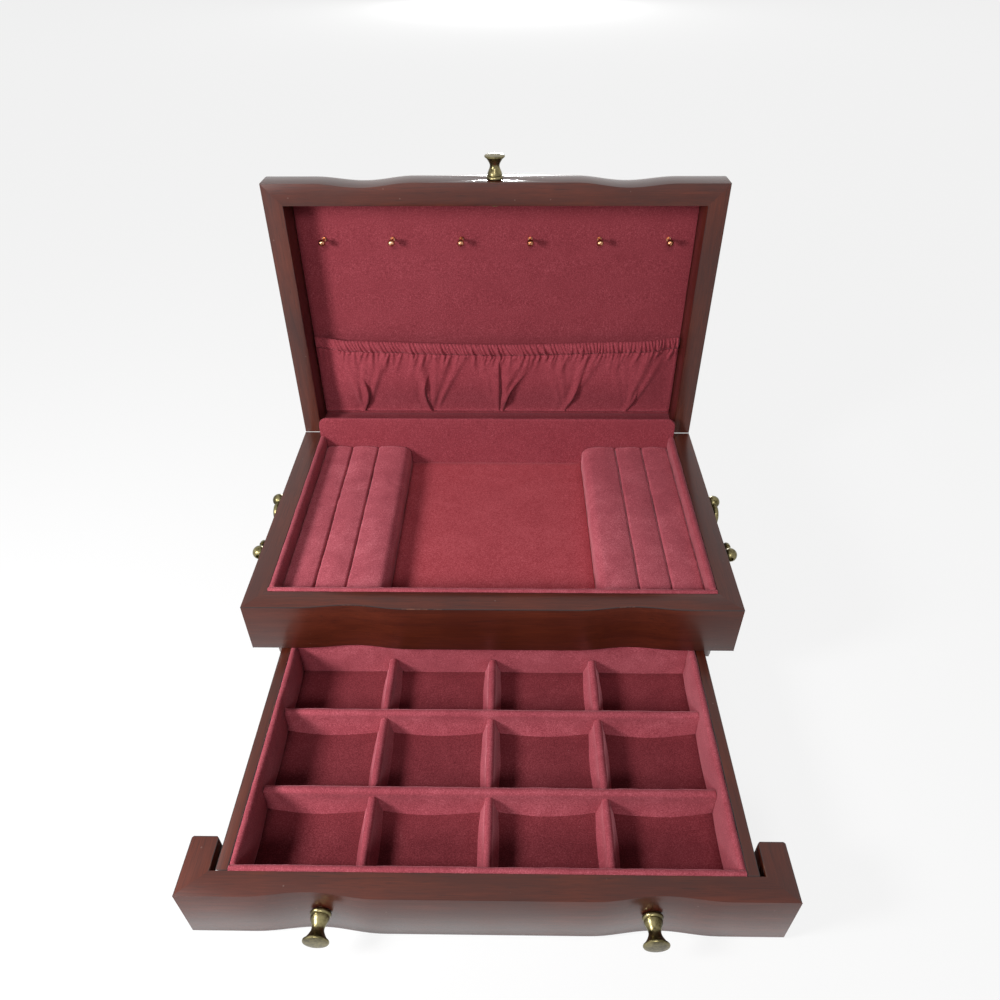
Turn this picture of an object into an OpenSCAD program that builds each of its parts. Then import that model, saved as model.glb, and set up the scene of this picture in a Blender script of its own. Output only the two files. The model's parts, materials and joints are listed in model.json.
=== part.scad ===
// Two-tier jewellery chest: a hinged lid with a gathered pocket and necklace hooks,
// a lined tray with ring rolls, and a divided drawer with wrap-round front corners.
// Millimetres. The origin is the middle of the case's base, X to the right, Y to the back, Z up.
// It is drawn with the lid open on its stops and the drawer pulled out.

/* [Case] */
// Width of the case
case_w = 290; // [260:1:320]
// Depth of the case, from the flat ends of its front to its back
case_d = 180; // [165:1:220]
// Height of the front rail of the upper tier
tier_h = 35.6; // [30:0.1:50]
// Thickness of the side boards
side_t = 12.4; // [11:0.1:16]
// Thickness of the front rail at its flat ends
front_t = 13.4; // [11:0.1:18]
// Thickness of the back board
back_t = 4.2; // [3.5:0.1:6]
// Thickness of the deck under the tray
deck_t = 4; // [3:0.1:6]
// Thickness of the bottom board
bottom_t = 4; // [3:0.1:5]
// Thickness of the felt under the case
felt_t = 2; // [1:0.1:3]
// How far the felt stays back from the edges of the case
felt_inset = 1.5; // [0.5:0.1:4]
// Radius of the front ends of the lower side boards
side_nose_r = 5; // [2:0.1:10]

/* [Wavy front] */
// Length of the flat stretch at each end of the front
corner_flat = 31.5; // [24:0.5:40]
// Distance of each valley from the end of the front
valley_in = 62; // [56:1:72]
// Half the length of the flat crown in the middle of the front
crown_half = 50; // [25:1:52]
// Depth of the valleys
valley_depth = 2.4; // [1:0.1:3]
// How far the crown stands out
crown_depth = 0.6; // [0.3:0.1:3]

/* [Lid] */
// Angle of the lid at its stops
lid_open = 91.5; // [80:0.5:95]
// Height of the lid
lid_h = 27.2; // [24:0.1:34]
// Height of the upright part of the lid's edge, below its round
lid_edge_h = 15.2; // [10:0.1:20]
// Thickness of the lid's side rails
lid_side_t = 12.2; // [10:0.1:14]
// Thickness of the lid's front rail at its flat ends
lid_front_t = 13.4; // [11:0.1:16]
// Thickness of the lid's back rail
lid_back_t = 3.4; // [3:0.1:3.8]
// Flat land on top of the rails, inside the round
lid_land = 1.4; // [0.8:0.1:3]
// Depth of the recess, from the rim to the lining
lid_recess = 21.6; // [20:0.1:22.5]
// Thickness of the top panel
lid_panel_t = 4; // [3:0.1:4.4]
// Gap between the closed lid and the case
lid_gap = 0.3; // [0.2:0.05:0.6]
// Thickness of the velvet on the inside of the back rail
lid_strip_t = 0.6; // [0.3:0.1:0.8]

/* [Pocket] */
// Height of the pocket's bottom seam above the hinge line
pocket_foot = 6.4; // [6:0.1:10]
// Height of the pocket's hem above the hinge line
pocket_top = 68; // [55:1:85]
// Height of the gathered hem
pocket_hem = 8; // [5:0.1:12]
// How far the pocket stands off the lining
pocket_swell = 8; // [7:0.1:10]
// Thickness of the pocket's cloth
pocket_cloth = 1; // [0.8:0.1:1.5]
// How far the hem sags in the middle
pocket_sag = 3; // [0:0.1:6]
// Number of pleats sewn in at the bottom seam
pocket_pleats = 5; // [3:1:6]
// Distance of the outer pleats from the ends of the pocket
pleat_in = 30.4; // [24:0.1:40]
// Depth of a pleat
pleat_depth = 1.6; // [0.5:0.1:2]

/* [Tray] */
// Depth of the tray, from the rim to the velvet floor
tray_depth = 22.3; // [18:0.1:23]
// Thickness of the floor pad
tray_pad_t = 2.7; // [1.5:0.1:4]
// Thickness of the side liners
tray_liner_t = 4.2; // [2:0.1:6]
// Thickness of the front liner
front_liner_t = 3; // [2:0.1:5]
// Thickness of the raised back liner
back_liner_t = 2.4; // [1.5:0.1:3]
// How far the back liner stands above the rim
back_liner_rise = 16; // [8:0.1:17]
// Radius of the back liner's top corners
back_liner_r = 6; // [2:0.5:12]
// How far the other liners stand above the wood around them
liner_rise = 1; // [0.2:0.1:1.4]
// Number of ring rolls on each side
rolls = 3; // [2:1:4]
// Width of a ring roll
roll_w = 19.6; // [14:0.1:22]
// Width of the innermost ring roll of each side
inner_roll_w = 24.6; // [16:0.1:28]
// How far the tops of the rolls lie below the rim
roll_drop = 7.3; // [4:0.1:10]
// Radius of the rolls' edges along the slots
roll_edge_r = 2; // [1.5:0.1:6]
// Radius of the open edge of the innermost roll
roll_nose_r = 6.5; // [3:0.1:9]
// Crown of a roll
roll_crown = 0.6; // [0.3:0.1:2]
// Slot between the rolls
roll_slot = 0.4; // [0.3:0.1:1]

/* [Drawer] */
// Travel that the open drawer has left before its horns meet the front rail
pull_left = 9.1; // [9:0.1:80]
// Height of the drawer's front
drawer_h = 37.7; // [32:0.1:48]
// Gap between the drawer's front and the rail above it
tier_gap = 3.1; // [1.5:0.1:4]
// Height of the drawer's front above the felt
foot_gap = 0.6; // [0.3:0.1:2]
// Thickness of the drawer's front at its flat ends
drawer_front_t = 11.8; // [11:0.1:16]
// Length of the corner returns, from the front's face
return_l = 28.8; // [22:0.1:40]
// Thickness of the corner returns
return_t = 13.6; // [12.5:0.1:16]
// Chamfer at the back of the returns
return_chamfer = 1.2; // [0.5:0.1:4]
// Gap between the returns and the side boards behind them
return_gap = 1; // [0.5:0.1:2]
// Gap behind the closed drawer
drawer_end_gap = 1.3; // [1:0.1:6]
// How far the drawer's sides run past its back
drawer_tail = 17.2; // [12:0.1:30]
// Thickness of the drawer's sides
drawer_side_t = 6; // [4:0.1:9]
// Thickness of the drawer's back
drawer_back_t = 6; // [4:0.1:9]
// Thickness of the drawer's bottom
drawer_bottom_t = 4; // [3:0.1:6]
// Height of the drawer's bottom above the feet of its sides
bottom_lift = 2; // [1:0.1:4]
// Room for a guide between a side board and the drawer
guide_room = 3.85; // [3:0.05:6]
// Height of the guides
guide_h = 10; // [5:0.5:16]
// Running gap of the drawer on its guides, floor and deck
slide_gap = 0.35; // [0.3:0.05:0.6]
// Length of the raised horn at the back of each side
horn_l = 8; // [5:0.5:12]

/* [Drawer lining] */
// Depth from the drawer's top to its velvet floor
inside_depth = 23.3; // [18:0.1:26]
// Thickness of the front liner
drawer_front_liner_t = 3; // [1:0.1:4]
// Thickness of the back liner
drawer_back_liner_t = 2.5; // [1:0.1:4]
// Thickness of the side liners
drawer_side_liner_t = 3.25; // [1.5:0.05:5]
// Distance of the front divider from the drawer's face
front_divider_y = 59; // [50:0.5:68]
// Distance of the rear divider from the drawer's face
rear_divider_y = 107.5; // [98:0.5:116]
// Height of the long dividers above the velvet floor
divider_h = 15.5; // [10:0.1:18]
// Height of the cross dividers above the velvet floor
cross_h = 12; // [8:0.1:15]
// Thickness of the dividers at their round tops
divider_t = 4.6; // [3:0.1:6]
// Width of the dividers' feet, halfway between two pinches
divider_foot = 12; // [8:0.5:14]
// Number of compartments in a row
columns = 4; // [3:1:5]
// Distance between the cross dividers
cross_pitch = 61.5; // [45:0.5:70]
// Width of the long dividers' feet where cross dividers meet them
divider_neck = 6.4; // [5:0.1:8]

/* [Knobs] */
// Diameter of a knob's face
knob_face_d = 12.7; // [10:0.1:16]
// Diameter of a knob's neck
knob_neck_d = 6; // [5:0.1:8]
// Diameter of a knob's base bead
knob_base_d = 10.4; // [8:0.1:13]
// Length of a knob
knob_l = 14.4; // [12:0.1:20]
// Distance of the drawer's knobs from the ends of its front
knob_in = 66; // [45:1:110]
// Diameter of the knob screws
knob_screw_d = 3; // [2:0.1:3.6]

/* [Hooks] */
// Distance of the hooks from the hinge line
hook_up = 139; // [110:1:145]
// Distance between the hooks
hook_pitch = 46; // [30:1:50]
// Number of hooks
hooks = 6; // [2:1:6]
// Diameter of a hook's ball
hook_ball_d = 4.6; // [3:0.1:6]
// Diameter of a hook's shank
hook_shank_d = 1.8; // [1.2:0.1:2.6]
// Height of the collar at a hook's foot
hook_collar_h = 0.8; // [0.5:0.1:2]
// Diameter of the collar at a hook's foot
hook_collar_d = 3; // [2.6:0.1:6]
// Reach of a hook from the lining to the middle of its ball
hook_reach = 8; // [5:0.1:11]

/* [Handles] */
// Distance between the two posts of a handle
post_pitch = 54; // [44:1:70]
// Distance of the handle's pivots below the rim
post_drop = 15.5; // [12:0.1:20]
// Distance of the pivots out from the side boards
post_reach = 8; // [7.6:0.1:13]
// Diameter of the balls
post_ball_d = 9; // [8:0.1:11]
// Diameter of the rosettes
rosette_d = 13; // [10:0.1:16]
// Height of the rosettes
rosette_h = 2.6; // [2:0.1:4]
// Wall of a post around its screw
post_wall = 1.4; // [1:0.1:2.4]
// Diameter of the bail's rod
bail_d = 4; // [3:0.1:5]
// Diameter of the bail's pivot pins
bail_pin_d = 3; // [2:0.1:3.4]
// Drop of the bail below its pivots
bail_drop = 22; // [18:0.5:26]
// Gap between the bail's rod and the balls
bail_side_gap = 2.6; // [0.5:0.1:4]
// Radius of the bail's bends
bail_bend_r = 5; // [3.5:0.1:8]
// Diameter of the post screws
post_screw_d = 2.4; // [1.6:0.1:3]

/* [Hinges] */
// Distance of the hinges from the ends of the case
hinge_in = 57; // [35:1:85]
// Length of a hinge
hinge_l = 30; // [24:1:40]
// How far the hinges are let into the wood
hinge_sink = 1.9; // [1.4:0.1:2]
// Diameter of the knuckles
knuckle_d = 4; // [3.6:0.1:5]
// Diameter of the pins
hinge_pin_d = 2; // [1.4:0.1:2.4]
// Thickness of the leaves
leaf_t = 1; // [0.6:0.1:1.4]
// Height of a leaf, from the pin
leaf_h = 14; // [11:0.5:18]
// Diameter of the hinge screws
hinge_screw_d = 1.8; // [1.2:0.1:2.2]

/* [Clearances] */
// Radial clearance of a pin that turns in its bore
pin_clear = 0.05; // [0.02:0.01:0.08]
// Radial clearance of a screw in its hole
screw_clear = 0.05; // [0.02:0.01:0.2]
// Clearance of a soft piece from its neighbours
soft_clear = 0.2; // [0.1:0.05:0.5]
// End clearance between hinge knuckles
knuckle_gap = 0.3; // [0.2:0.05:0.5]
// Clearance of a leaf's plate from the other leaf's knuckle
leaf_clear = 0.4; // [0.3:0.05:0.8]
// Clearance of the lid's leaf from its stop
stop_gap = 0.1; // [0.05:0.05:0.3]
// Clearance of a knob's bead from the wood that curves under it
knob_seat_gap = 0.05; // [0.03:0.01:0.1]

/* [Hidden] */
$fn = 48;

wood = [0.36, 0.15, 0.13];
velvet = [0.55, 0.23, 0.29];
velvet_light = [0.63, 0.29, 0.35];
brass = [0.52, 0.47, 0.31];
gold_brass = [0.72, 0.52, 0.38];
felt = [0.24, 0.12, 0.13];

// Heights
drawer_z = felt_t + foot_gap;
drawer_top = drawer_z + drawer_h;
tier_z = drawer_top + tier_gap;
rim_z = tier_z + tier_h;
floor_z = rim_z - tray_depth;
deck_top = floor_z - tray_pad_t;
deck_z = deck_top - deck_t;
bottom_top = felt_t + bottom_t;
liner_top = rim_z + liner_rise;
back_liner_top = rim_z + back_liner_rise;
roll_top = rim_z - roll_drop;

// Plan of the case
half_w = case_w / 2;
y_front = -case_d / 2;
y_back = case_d / 2;
in_x = half_w - side_t;
in_front = y_front + front_t;
in_back = y_back - back_t;
lower_front = y_front + return_l + return_gap;

// Wavy line of the front
flat_x = half_w - corner_flat;
valley_x = half_w - valley_in;
wave_steps = 56;
wave_xs = concat([-half_w], [for (i = [0:wave_steps]) flat_x * (2 * i / wave_steps - 1)], [half_w]);
function ease(t) = 0.5 - 0.5 * cos(180 * min(1, max(0, t)));
function wave(x) =
  let (a = abs(x))
  a >= valley_x
    ? -valley_depth * ease((flat_x - a) / (flat_x - valley_x))
    : (valley_depth + crown_depth) * ease((valley_x - a) / (valley_x - crown_half)) - valley_depth;

// Lid, closed
lid_z = rim_z + lid_gap;
lid_top = lid_z + lid_h;
lid_in_x = half_w - lid_side_t;
lid_in_front = y_front + lid_front_t;
lid_in_back = y_back - lid_back_t;
lining_z = lid_z + lid_recess;
panel_z = lid_top - lid_panel_t;
side_round = lid_side_t - lid_land;
front_round = side_round * lid_front_t / lid_side_t;
round_h = lid_h - lid_edge_h;
round_steps = 8;

// Hinge line
hinge_x = half_w - hinge_in;
knuckle_r = knuckle_d / 2;
leaf_y = y_back - hinge_sink;
hinge_y = leaf_y + knuckle_r;
hinge_z = rim_z + lid_gap / 2;
knuckle_l = hinge_l / 3;
leaf_start = knuckle_r + leaf_clear;
leaf_screw_up = (leaf_start + leaf_h) / 2;
mortise_clear = 0.2;

// Tray
liner_in_x = in_x - tray_liner_t;
rolls_in_x = liner_in_x - inner_roll_w - (rolls - 1) * roll_w;
back_liner_x = min(in_x, lid_in_x) - 2 * soft_clear;
tray_y0 = in_front + front_liner_t;
tray_y1 = in_back - back_liner_t;

// Drawer, where it is pulled out to
drawer_l = case_d - back_t - drawer_end_gap;
drawer_pull = drawer_l - horn_l - front_t - pull_left;
face_y = y_front - drawer_pull;
drawer_in_front = face_y + drawer_front_t;
drawer_end = face_y + drawer_l;
side_out_x = in_x - guide_room;
side_in_x = side_out_x - drawer_side_t;
inside_x = side_in_x - drawer_side_liner_t;
inside_y0 = drawer_in_front + drawer_front_liner_t;
back_y = drawer_end - drawer_tail - drawer_back_t;
inside_y1 = back_y - drawer_back_liner_t;
drawer_floor = drawer_top - inside_depth;
drawer_foot = bottom_top + slide_gap;
bottom_z = drawer_foot + bottom_lift;
pad_z = bottom_z + drawer_bottom_t;
drawer_liner_top = drawer_top + liner_rise;
divider_r = divider_t / 2;
divider_flare = divider_foot / 2 - divider_r;
neck_r = divider_neck / 2;

// Screws, knobs and handles
screw_head_h = 1.6;
tip_clear = 0.4;
cut = 0.5;
hinge_head_h = 0.7;
hinge_head_r = hinge_screw_d / 2 + hinge_head_h;
knob_screw_head_r = knob_screw_d / 2 + 1.6;
knob_screw_in = 7;
knob_z = (drawer_z + drawer_top) / 2;
knob_x = half_w - knob_in;
post_screw_head_r = post_screw_d / 2 + 1.2;
post_screw_in = 4;
sink_clear = 0.4;
pivot_x = half_w + post_reach;
fuse = 0.01;
pivot_z = rim_z - post_drop;

// Bars drawn by a section in the XZ or the YZ plane
module along_y(y0, y1) translate([0, y1, 0]) rotate([90, 0, 0]) linear_extrude(y1 - y0) children();
module along_x(x0, x1) translate([x0, 0, 0]) rotate([90, 0, 90]) linear_extrude(x1 - x0) children();
module block(x0, x1, y0, y1, z0, z1) translate([x0, y0, z0]) cube([x1 - x0, y1 - y0, z1 - z0]);
module on_side(side) {
  if (side < 0) mirror([1, 0, 0]) children();
  else children();
}

// Puts what is drawn on the closed lid where the open lid is
module lid_pose()
  translate([0, hinge_y, hinge_z]) rotate([-lid_open, 0, 0]) translate([0, -hinge_y, -hinge_z]) children();

// Plan of a front board with a wavy face and mitred ends
module wavy_plan(y_face, y_in, x_in)
  polygon(concat(
    [for (x = wave_xs) [x, y_face - wave(x)]],
    [[x_in, y_in], [-x_in, y_in]]
  ));

// Section of a liner: upright, with a half-round top
module liner_section(a0, a1, z0, z1) {
  r = (a1 - a0) / 2;
  translate([a0, z0]) square([a1 - a0, z1 - r - z0]);
  translate([a0 + r, z1 - r]) circle(r);
}

// Half section of a padded divider: shares of its height, of its top's half thickness and of its flare
divider_section = [
  [0, 1, 1], [0.2, 1, 0.78], [0.45, 1, 0.4], [0.7, 1, 0.1],
  [0.88, 0.8, 0], [0.97, 0.4, 0], [1, 0, 0]
];
swell_steps = 10;

// A padded divider along X with its foot at z = 0, from the first to the last of its pinches. The foot flares
// by least at a pinch and by divider_flare halfway to the next; a low power makes it swell soon
module padded_bar(h, pinches, least, power) {
  s = divider_section;
  m = 2 * len(s) - 1;
  last = len(pinches) - 2;
  xs = [for (k = [0:last], i = [0:swell_steps - (k < last ? 1 : 0)])
    pinches[k] + (pinches[k + 1] - pinches[k]) * i / swell_steps];
  n = len(xs);
  flare = function (i) least + (divider_flare - least) * pow(abs(sin(180 * i / swell_steps)), power);
  half = function (i, p) divider_r * p[1] + flare(i) * p[2];
  points = [for (i = [0:n - 1]) each concat(
    [for (p = s) [xs[i], half(i, p), h * p[0]]],
    [for (j = [len(s) - 2:-1:0]) [xs[i], -half(i, s[j]), h * s[j][0]]])];
  walls = [for (i = [0:n - 2], j = [0:m - 1])
    let (a = i * m + j, b = i * m + (j + 1) % m)
    each [[a, a + m, b], [b, a + m, b + m]]];
  polyhedron(points, concat([[for (j = [0:m - 1]) j]], walls, [[for (j = [m - 1:-1:0]) (n - 1) * m + j]]));
}

// A screw along +Z with its head below the origin, and the hole it needs
module screw(d, head_r, head_h, l) {
  translate([0, 0, -head_h]) cylinder(r = head_r, h = head_h);
  cylinder(d = d, h = l);
}
module screw_hole(d, l) translate([0, 0, -cut]) cylinder(r = d / 2 + screw_clear, h = l + cut);

// Case

module case_front_rail()
  color(wood)
  translate([0, 0, tier_z]) linear_extrude(tier_h) wavy_plan(y_front, in_front, in_x);

module case_side(side)
  color(wood)
  on_side(side)
  difference() {
    union() {
      translate([0, 0, tier_z]) linear_extrude(tier_h)
        polygon([[half_w, y_front], [half_w, y_back], [in_x, y_back], [in_x, in_front]]);
      translate([0, 0, felt_t]) linear_extrude(tier_z - felt_t) {
        translate([in_x, lower_front + side_nose_r]) square([side_t, y_back - lower_front - side_nose_r]);
        translate([in_x, lower_front]) square([side_t - side_nose_r, side_nose_r]);
        translate([half_w - side_nose_r, lower_front + side_nose_r]) circle(side_nose_r);
      }
    }
    at_posts() {
      screw_hole(post_screw_d, side_t + cut);
      cylinder(r = post_screw_head_r + sink_clear, h = 2 * (screw_head_h + sink_clear), center = true);
    }
  }
module case_left_side() case_side(-1);
module case_right_side() case_side(1);

module case_back()
  color(wood)
  difference() {
    block(-in_x, in_x, in_back, y_back, felt_t, rim_z);
    hinge_mortises(-1);
    at_hinge_screws(-1) screw_hole(hinge_screw_d, back_t - hinge_sink);
  }

module case_bottom()
  color(wood)
  union() {
    block(-in_x, in_x, lower_front, in_back, felt_t, bottom_top);
    tongue_x = half_w - return_t - return_gap;
    block(-tongue_x, tongue_x, y_front + drawer_front_t + return_gap, lower_front, felt_t, bottom_top);
  }

module tray_deck()
  color(wood)
  block(-in_x, in_x, in_front, in_back, deck_z, deck_top);

module drawer_guides()
  color(wood)
  for (side = [-1, 1])
    on_side(side)
    block(in_x - guide_room + slide_gap, in_x, lower_front, in_back, bottom_top, bottom_top + guide_h);

module base_felt()
  color(felt)
  block(-half_w + felt_inset, half_w - felt_inset, lower_front + felt_inset, y_back - felt_inset, 0, felt_t);

// Tray

module tray_floor_pad()
  color(velvet)
  block(-rolls_in_x + soft_clear, rolls_in_x - soft_clear, tray_y0, tray_y1, deck_top, floor_z);

module tray_liner_front()
  color(velvet_light)
  along_x(-in_x, in_x) liner_section(in_front, tray_y0, deck_top, liner_top);

module tray_liner_back()
  color(velvet)
  intersection() {
    along_x(-back_liner_x, back_liner_x) liner_section(tray_y1, in_back, deck_top, back_liner_top);
    along_y(tray_y1, in_back) back_liner_outline();
  }
module back_liner_outline() {
  round_x = back_liner_x - back_liner_r;
  translate([-back_liner_x, deck_top]) square([2 * back_liner_x, back_liner_top - back_liner_r - deck_top]);
  translate([-round_x, deck_top]) square([2 * round_x, back_liner_top - deck_top]);
  for (side = [-1, 1]) translate([side * round_x, back_liner_top - back_liner_r]) circle(back_liner_r);
}

module tray_liner_side(side)
  color(velvet_light)
  on_side(side)
  along_y(tray_y0, tray_y1) liner_section(liner_in_x, in_x, deck_top, liner_top);
module tray_liner_left() tray_liner_side(-1);
module tray_liner_right() tray_liner_side(1);

// Section of a ring roll: crowned, with round edges of radius r0 and r1 at its two sides
function arc_points(cx, cz, r, a0, a1, n) = [
  for (i = [0:n]) let (a = a0 + (a1 - a0) * i / n) [cx + r * cos(a), cz + r * sin(a)]
];
function roll_section(x0, x1, r0, r1) =
  let (edge_z = roll_top - roll_crown, mid = (x0 + r0 + x1 - r1) / 2, half = (x1 - r1 - x0 - r0) / 2, n = 6)
  concat(
    [[x0, deck_top], [x1, deck_top]],
    arc_points(x1 - r1, edge_z - r1, r1, 0, 90, n),
    [for (i = [1:n - 1]) let (t = 1 - 2 * i / n) [mid + half * t, edge_z + roll_crown * (1 - t * t)]],
    arc_points(x0 + r0, edge_z - r0, r0, 90, 180, n)
  );

module ring_rolls(side)
  color(velvet_light)
  on_side(side)
  along_y(tray_y0 + soft_clear, tray_y1 - soft_clear)
  for (i = [0:rolls - 1]) {
    x1 = rolls_in_x + inner_roll_w + i * roll_w;
    x0 = i == 0 ? rolls_in_x : x1 - roll_w;
    nose = i == 0 ? roll_nose_r : roll_edge_r;
    polygon(roll_section(x0 + roll_slot / 2, x1 - roll_slot / 2, nose, roll_edge_r));
  }
module ring_rolls_left() ring_rolls(-1);
module ring_rolls_right() ring_rolls(1);

// Hinges: the case's leaf has the two outer knuckles and the stop, the lid's leaf the middle knuckle

// Places a hinge screw on the case's leaves (up = -1) or the closed lid's (up = 1), pointing into the wood
module at_hinge_screws(up)
  for (side = [-1, 1], end = [-1, 1])
    translate([side * hinge_x + end * hinge_l / 3, leaf_y, hinge_z + up * leaf_screw_up])
    rotate([90, 0, 0]) children();

// What is cut out of the case's back (up = -1) or the closed lid's (up = 1) to let the hinges in: a seat for
// each leaf, a little deeper beside the knuckles
module hinge_mortises(up)
  for (side = [-1, 1], zone = [[leaf_y, leaf_h + mortise_clear], [leaf_y - mortise_clear, leaf_start]]) {
    x = side * hinge_x;
    half = hinge_l / 2 + mortise_clear;
    ends = [hinge_z - up * lid_gap, hinge_z + up * zone[1]];
    block(x - half, x + half, zone[0], y_back + cut, min(ends), max(ends));
  }

module knuckle(x0, x1, bore_r)
  along_x(x0, x1) translate([hinge_y, hinge_z]) difference() {
    circle(knuckle_r);
    circle(bore_r);
  }

// A leaf's plate and the tab that reaches its knuckles from x0 to x1; up is 1 above the pin and -1 below
module leaf_plate(up) {
  low = up > 0 ? hinge_z + leaf_start : hinge_z - leaf_h;
  block(-hinge_l / 2, hinge_l / 2, leaf_y, leaf_y + leaf_t, low, low + leaf_h - leaf_start);
}
module leaf_tab(x0, x1, up) {
  z0 = up > 0 ? hinge_z : hinge_z - leaf_start;
  difference() {
    block(x0, x1, leaf_y, leaf_y + leaf_t, z0, z0 + leaf_start);
    along_x(x0 - cut, x1 + cut) translate([hinge_y, hinge_z]) circle((knuckle_r + hinge_pin_d / 2) / 2);
  }
}

// Height above the pin of the open lid leaf's underside, at y behind the pin
function leaf_under(y) =
  let (c = knuckle_r - leaf_t)
  c * sin(lid_open) + (y + c * cos(lid_open)) * cos(lid_open) / sin(lid_open);

// The stop: an arm under the knuckles that turns up to meet the lid's leaf
module hinge_stop() {
  arm_l = knuckle_l - 2 * knuckle_gap;
  stop_y = leaf_start + 2 * leaf_t;
  arm_z = hinge_z - knuckle_r - 3 * leaf_t;
  stop_z = hinge_z + min(leaf_under(stop_y), leaf_under(stop_y + leaf_t)) - stop_gap;
  block(-arm_l / 2, arm_l / 2, leaf_y, hinge_y + stop_y + leaf_t, arm_z, arm_z + leaf_t);
  block(-arm_l / 2, arm_l / 2, hinge_y + stop_y, hinge_y + stop_y + leaf_t, arm_z, stop_z);
}

module hinge_case_leaf(side)
  color(brass)
  difference() {
    translate([side * hinge_x, 0, 0]) union() {
      leaf_plate(-1);
      for (end = [-1, 1]) {
        x0 = end > 0 ? knuckle_l / 2 + knuckle_gap / 2 : -hinge_l / 2;
        knuckle(x0, x0 + knuckle_l - knuckle_gap / 2, hinge_pin_d / 2);
        leaf_tab(x0, x0 + knuckle_l - knuckle_gap / 2, -1);
      }
      hinge_stop();
    }
    at_hinge_screws(-1) translate([0, 0, -2 * leaf_t]) screw_hole(hinge_screw_d, 4 * leaf_t);
  }
module hinge_left_case_leaf() hinge_case_leaf(-1);
module hinge_right_case_leaf() hinge_case_leaf(1);

module hinge_lid_leaf(side)
  color(brass)
  lid_pose()
  difference() {
    translate([side * hinge_x, 0, 0]) union() {
      leaf_plate(1);
      knuckle(-knuckle_l / 2 + knuckle_gap / 2, knuckle_l / 2 - knuckle_gap / 2, hinge_pin_d / 2 + pin_clear);
      leaf_tab(-knuckle_l / 2 + knuckle_gap / 2, knuckle_l / 2 - knuckle_gap / 2, 1);
    }
    at_hinge_screws(1) translate([0, 0, -2 * leaf_t]) screw_hole(hinge_screw_d, 4 * leaf_t);
  }
module hinge_left_lid_leaf() hinge_lid_leaf(-1);
module hinge_right_lid_leaf() hinge_lid_leaf(1);

module hinge_pins()
  color(brass)
  for (side = [-1, 1])
    along_x(side * hinge_x - hinge_l / 2, side * hinge_x + hinge_l / 2)
    translate([hinge_y, hinge_z]) circle(hinge_pin_d / 2);

module hinge_screw(wall)
  translate([0, 0, -leaf_t])
  screw(hinge_screw_d, hinge_head_r, hinge_head_h, leaf_t + wall - tip_clear);

module hinge_case_screws()
  color(brass)
  at_hinge_screws(-1) hinge_screw(back_t - hinge_sink);

module hinge_lid_screws()
  color(brass)
  lid_pose() at_hinge_screws(1) hinge_screw(lid_back_t - hinge_sink);

// Handles

// Puts what is drawn along +Z at each post of the right side board, pointing out from the board's inside
module at_posts()
  for (end = [-1, 1])
    translate([in_x, end * post_pitch / 2, pivot_z]) rotate([0, 90, 0]) children();

module handle_posts(side)
  color(brass)
  on_side(side)
  for (end = [-1, 1])
    translate([half_w, end * post_pitch / 2, pivot_z])
    difference() {
      rotate([0, 90, 0]) union() {
        rotate_extrude() post_section();
        translate([0, 0, post_reach]) sphere(d = post_ball_d);
      }
      translate([post_reach, 0, 0]) rotate([90, 0, 0])
        cylinder(r = bail_pin_d / 2 + pin_clear, h = post_ball_d + 2 * cut, center = true);
      rotate([0, 90, 0]) screw_hole(post_screw_d, post_screw_in);
    }
module handle_left_posts() handle_posts(-1);
module handle_right_posts() handle_posts(1);

// Half section of a post, from the rosette's face on the board to inside the ball
module post_section() {
  rim = rosette_d / 2;
  neck = post_screw_d / 2 + post_wall;
  in_ball = post_reach - post_ball_d / 4;
  polygon([
    [0, 0], [rim, 0], [rim, 0.3 * rosette_h], [rim * 0.9, 0.58 * rosette_h],
    [rim * 0.62, 0.74 * rosette_h], [rim * 0.58, rosette_h],
    [neck, rosette_h + post_wall], [neck, in_ball], [0, in_ball]
  ]);
}

module handle_post_screws()
  color(brass)
  for (side = [-1, 1])
    on_side(side) at_posts()
    translate([0, 0, screw_head_h + sink_clear])
    screw(post_screw_d, post_screw_head_r, screw_head_h,
      side_t - screw_head_h - sink_clear + post_screw_in - tip_clear);

// The bail hangs straight down from its pins; drawn in the YZ plane through the pivots
module bail(side)
  color(brass)
  on_side(side)
  translate([pivot_x, 0, pivot_z])
  union() {
    rod_r = bail_d / 2;
    pin_end = post_pitch / 2 + post_ball_d / 4;
    bend_y = post_pitch / 2 - post_ball_d / 2 - bail_side_gap;
    arm_y = bend_y - bail_bend_r;
    bar_y = arm_y - bail_bend_r;
    for (end = [-1, 1]) mirror([0, end < 0 ? 1 : 0, 0]) {
      translate([0, bend_y - fuse, 0]) rotate([-90, 0, 0]) cylinder(d = bail_pin_d, h = pin_end - bend_y);
      translate([0, bend_y, -bail_bend_r]) rotate([90, 0, -90])
        rotate_extrude(angle = 90) translate([bail_bend_r, 0]) circle(rod_r);
      translate([0, arm_y, -bail_drop + bail_bend_r]) cylinder(r = rod_r, h = bail_drop - 2 * bail_bend_r);
      translate([0, bar_y, -bail_drop + bail_bend_r]) rotate([90, 90, 90])
        rotate_extrude(angle = 90) translate([bail_bend_r, 0]) circle(rod_r);
    }
    translate([0, bar_y, -bail_drop]) rotate([90, 0, 0]) cylinder(r = rod_r, h = 2 * bar_y);
  }
module left_bail() bail(-1);
module right_bail() bail(1);

// Lid

// Section of a lid rail, measured in from its outer face: upright edge, round, land
function rail_section(run, t) = concat(
  [[0, 0], [0, lid_edge_h]],
  [for (i = [1:round_steps]) let (a = 90 * i / round_steps)
    [run * (1 - cos(a)), lid_edge_h + round_h * sin(a)]],
  [[t, lid_h], [t, 0]]
);

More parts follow.
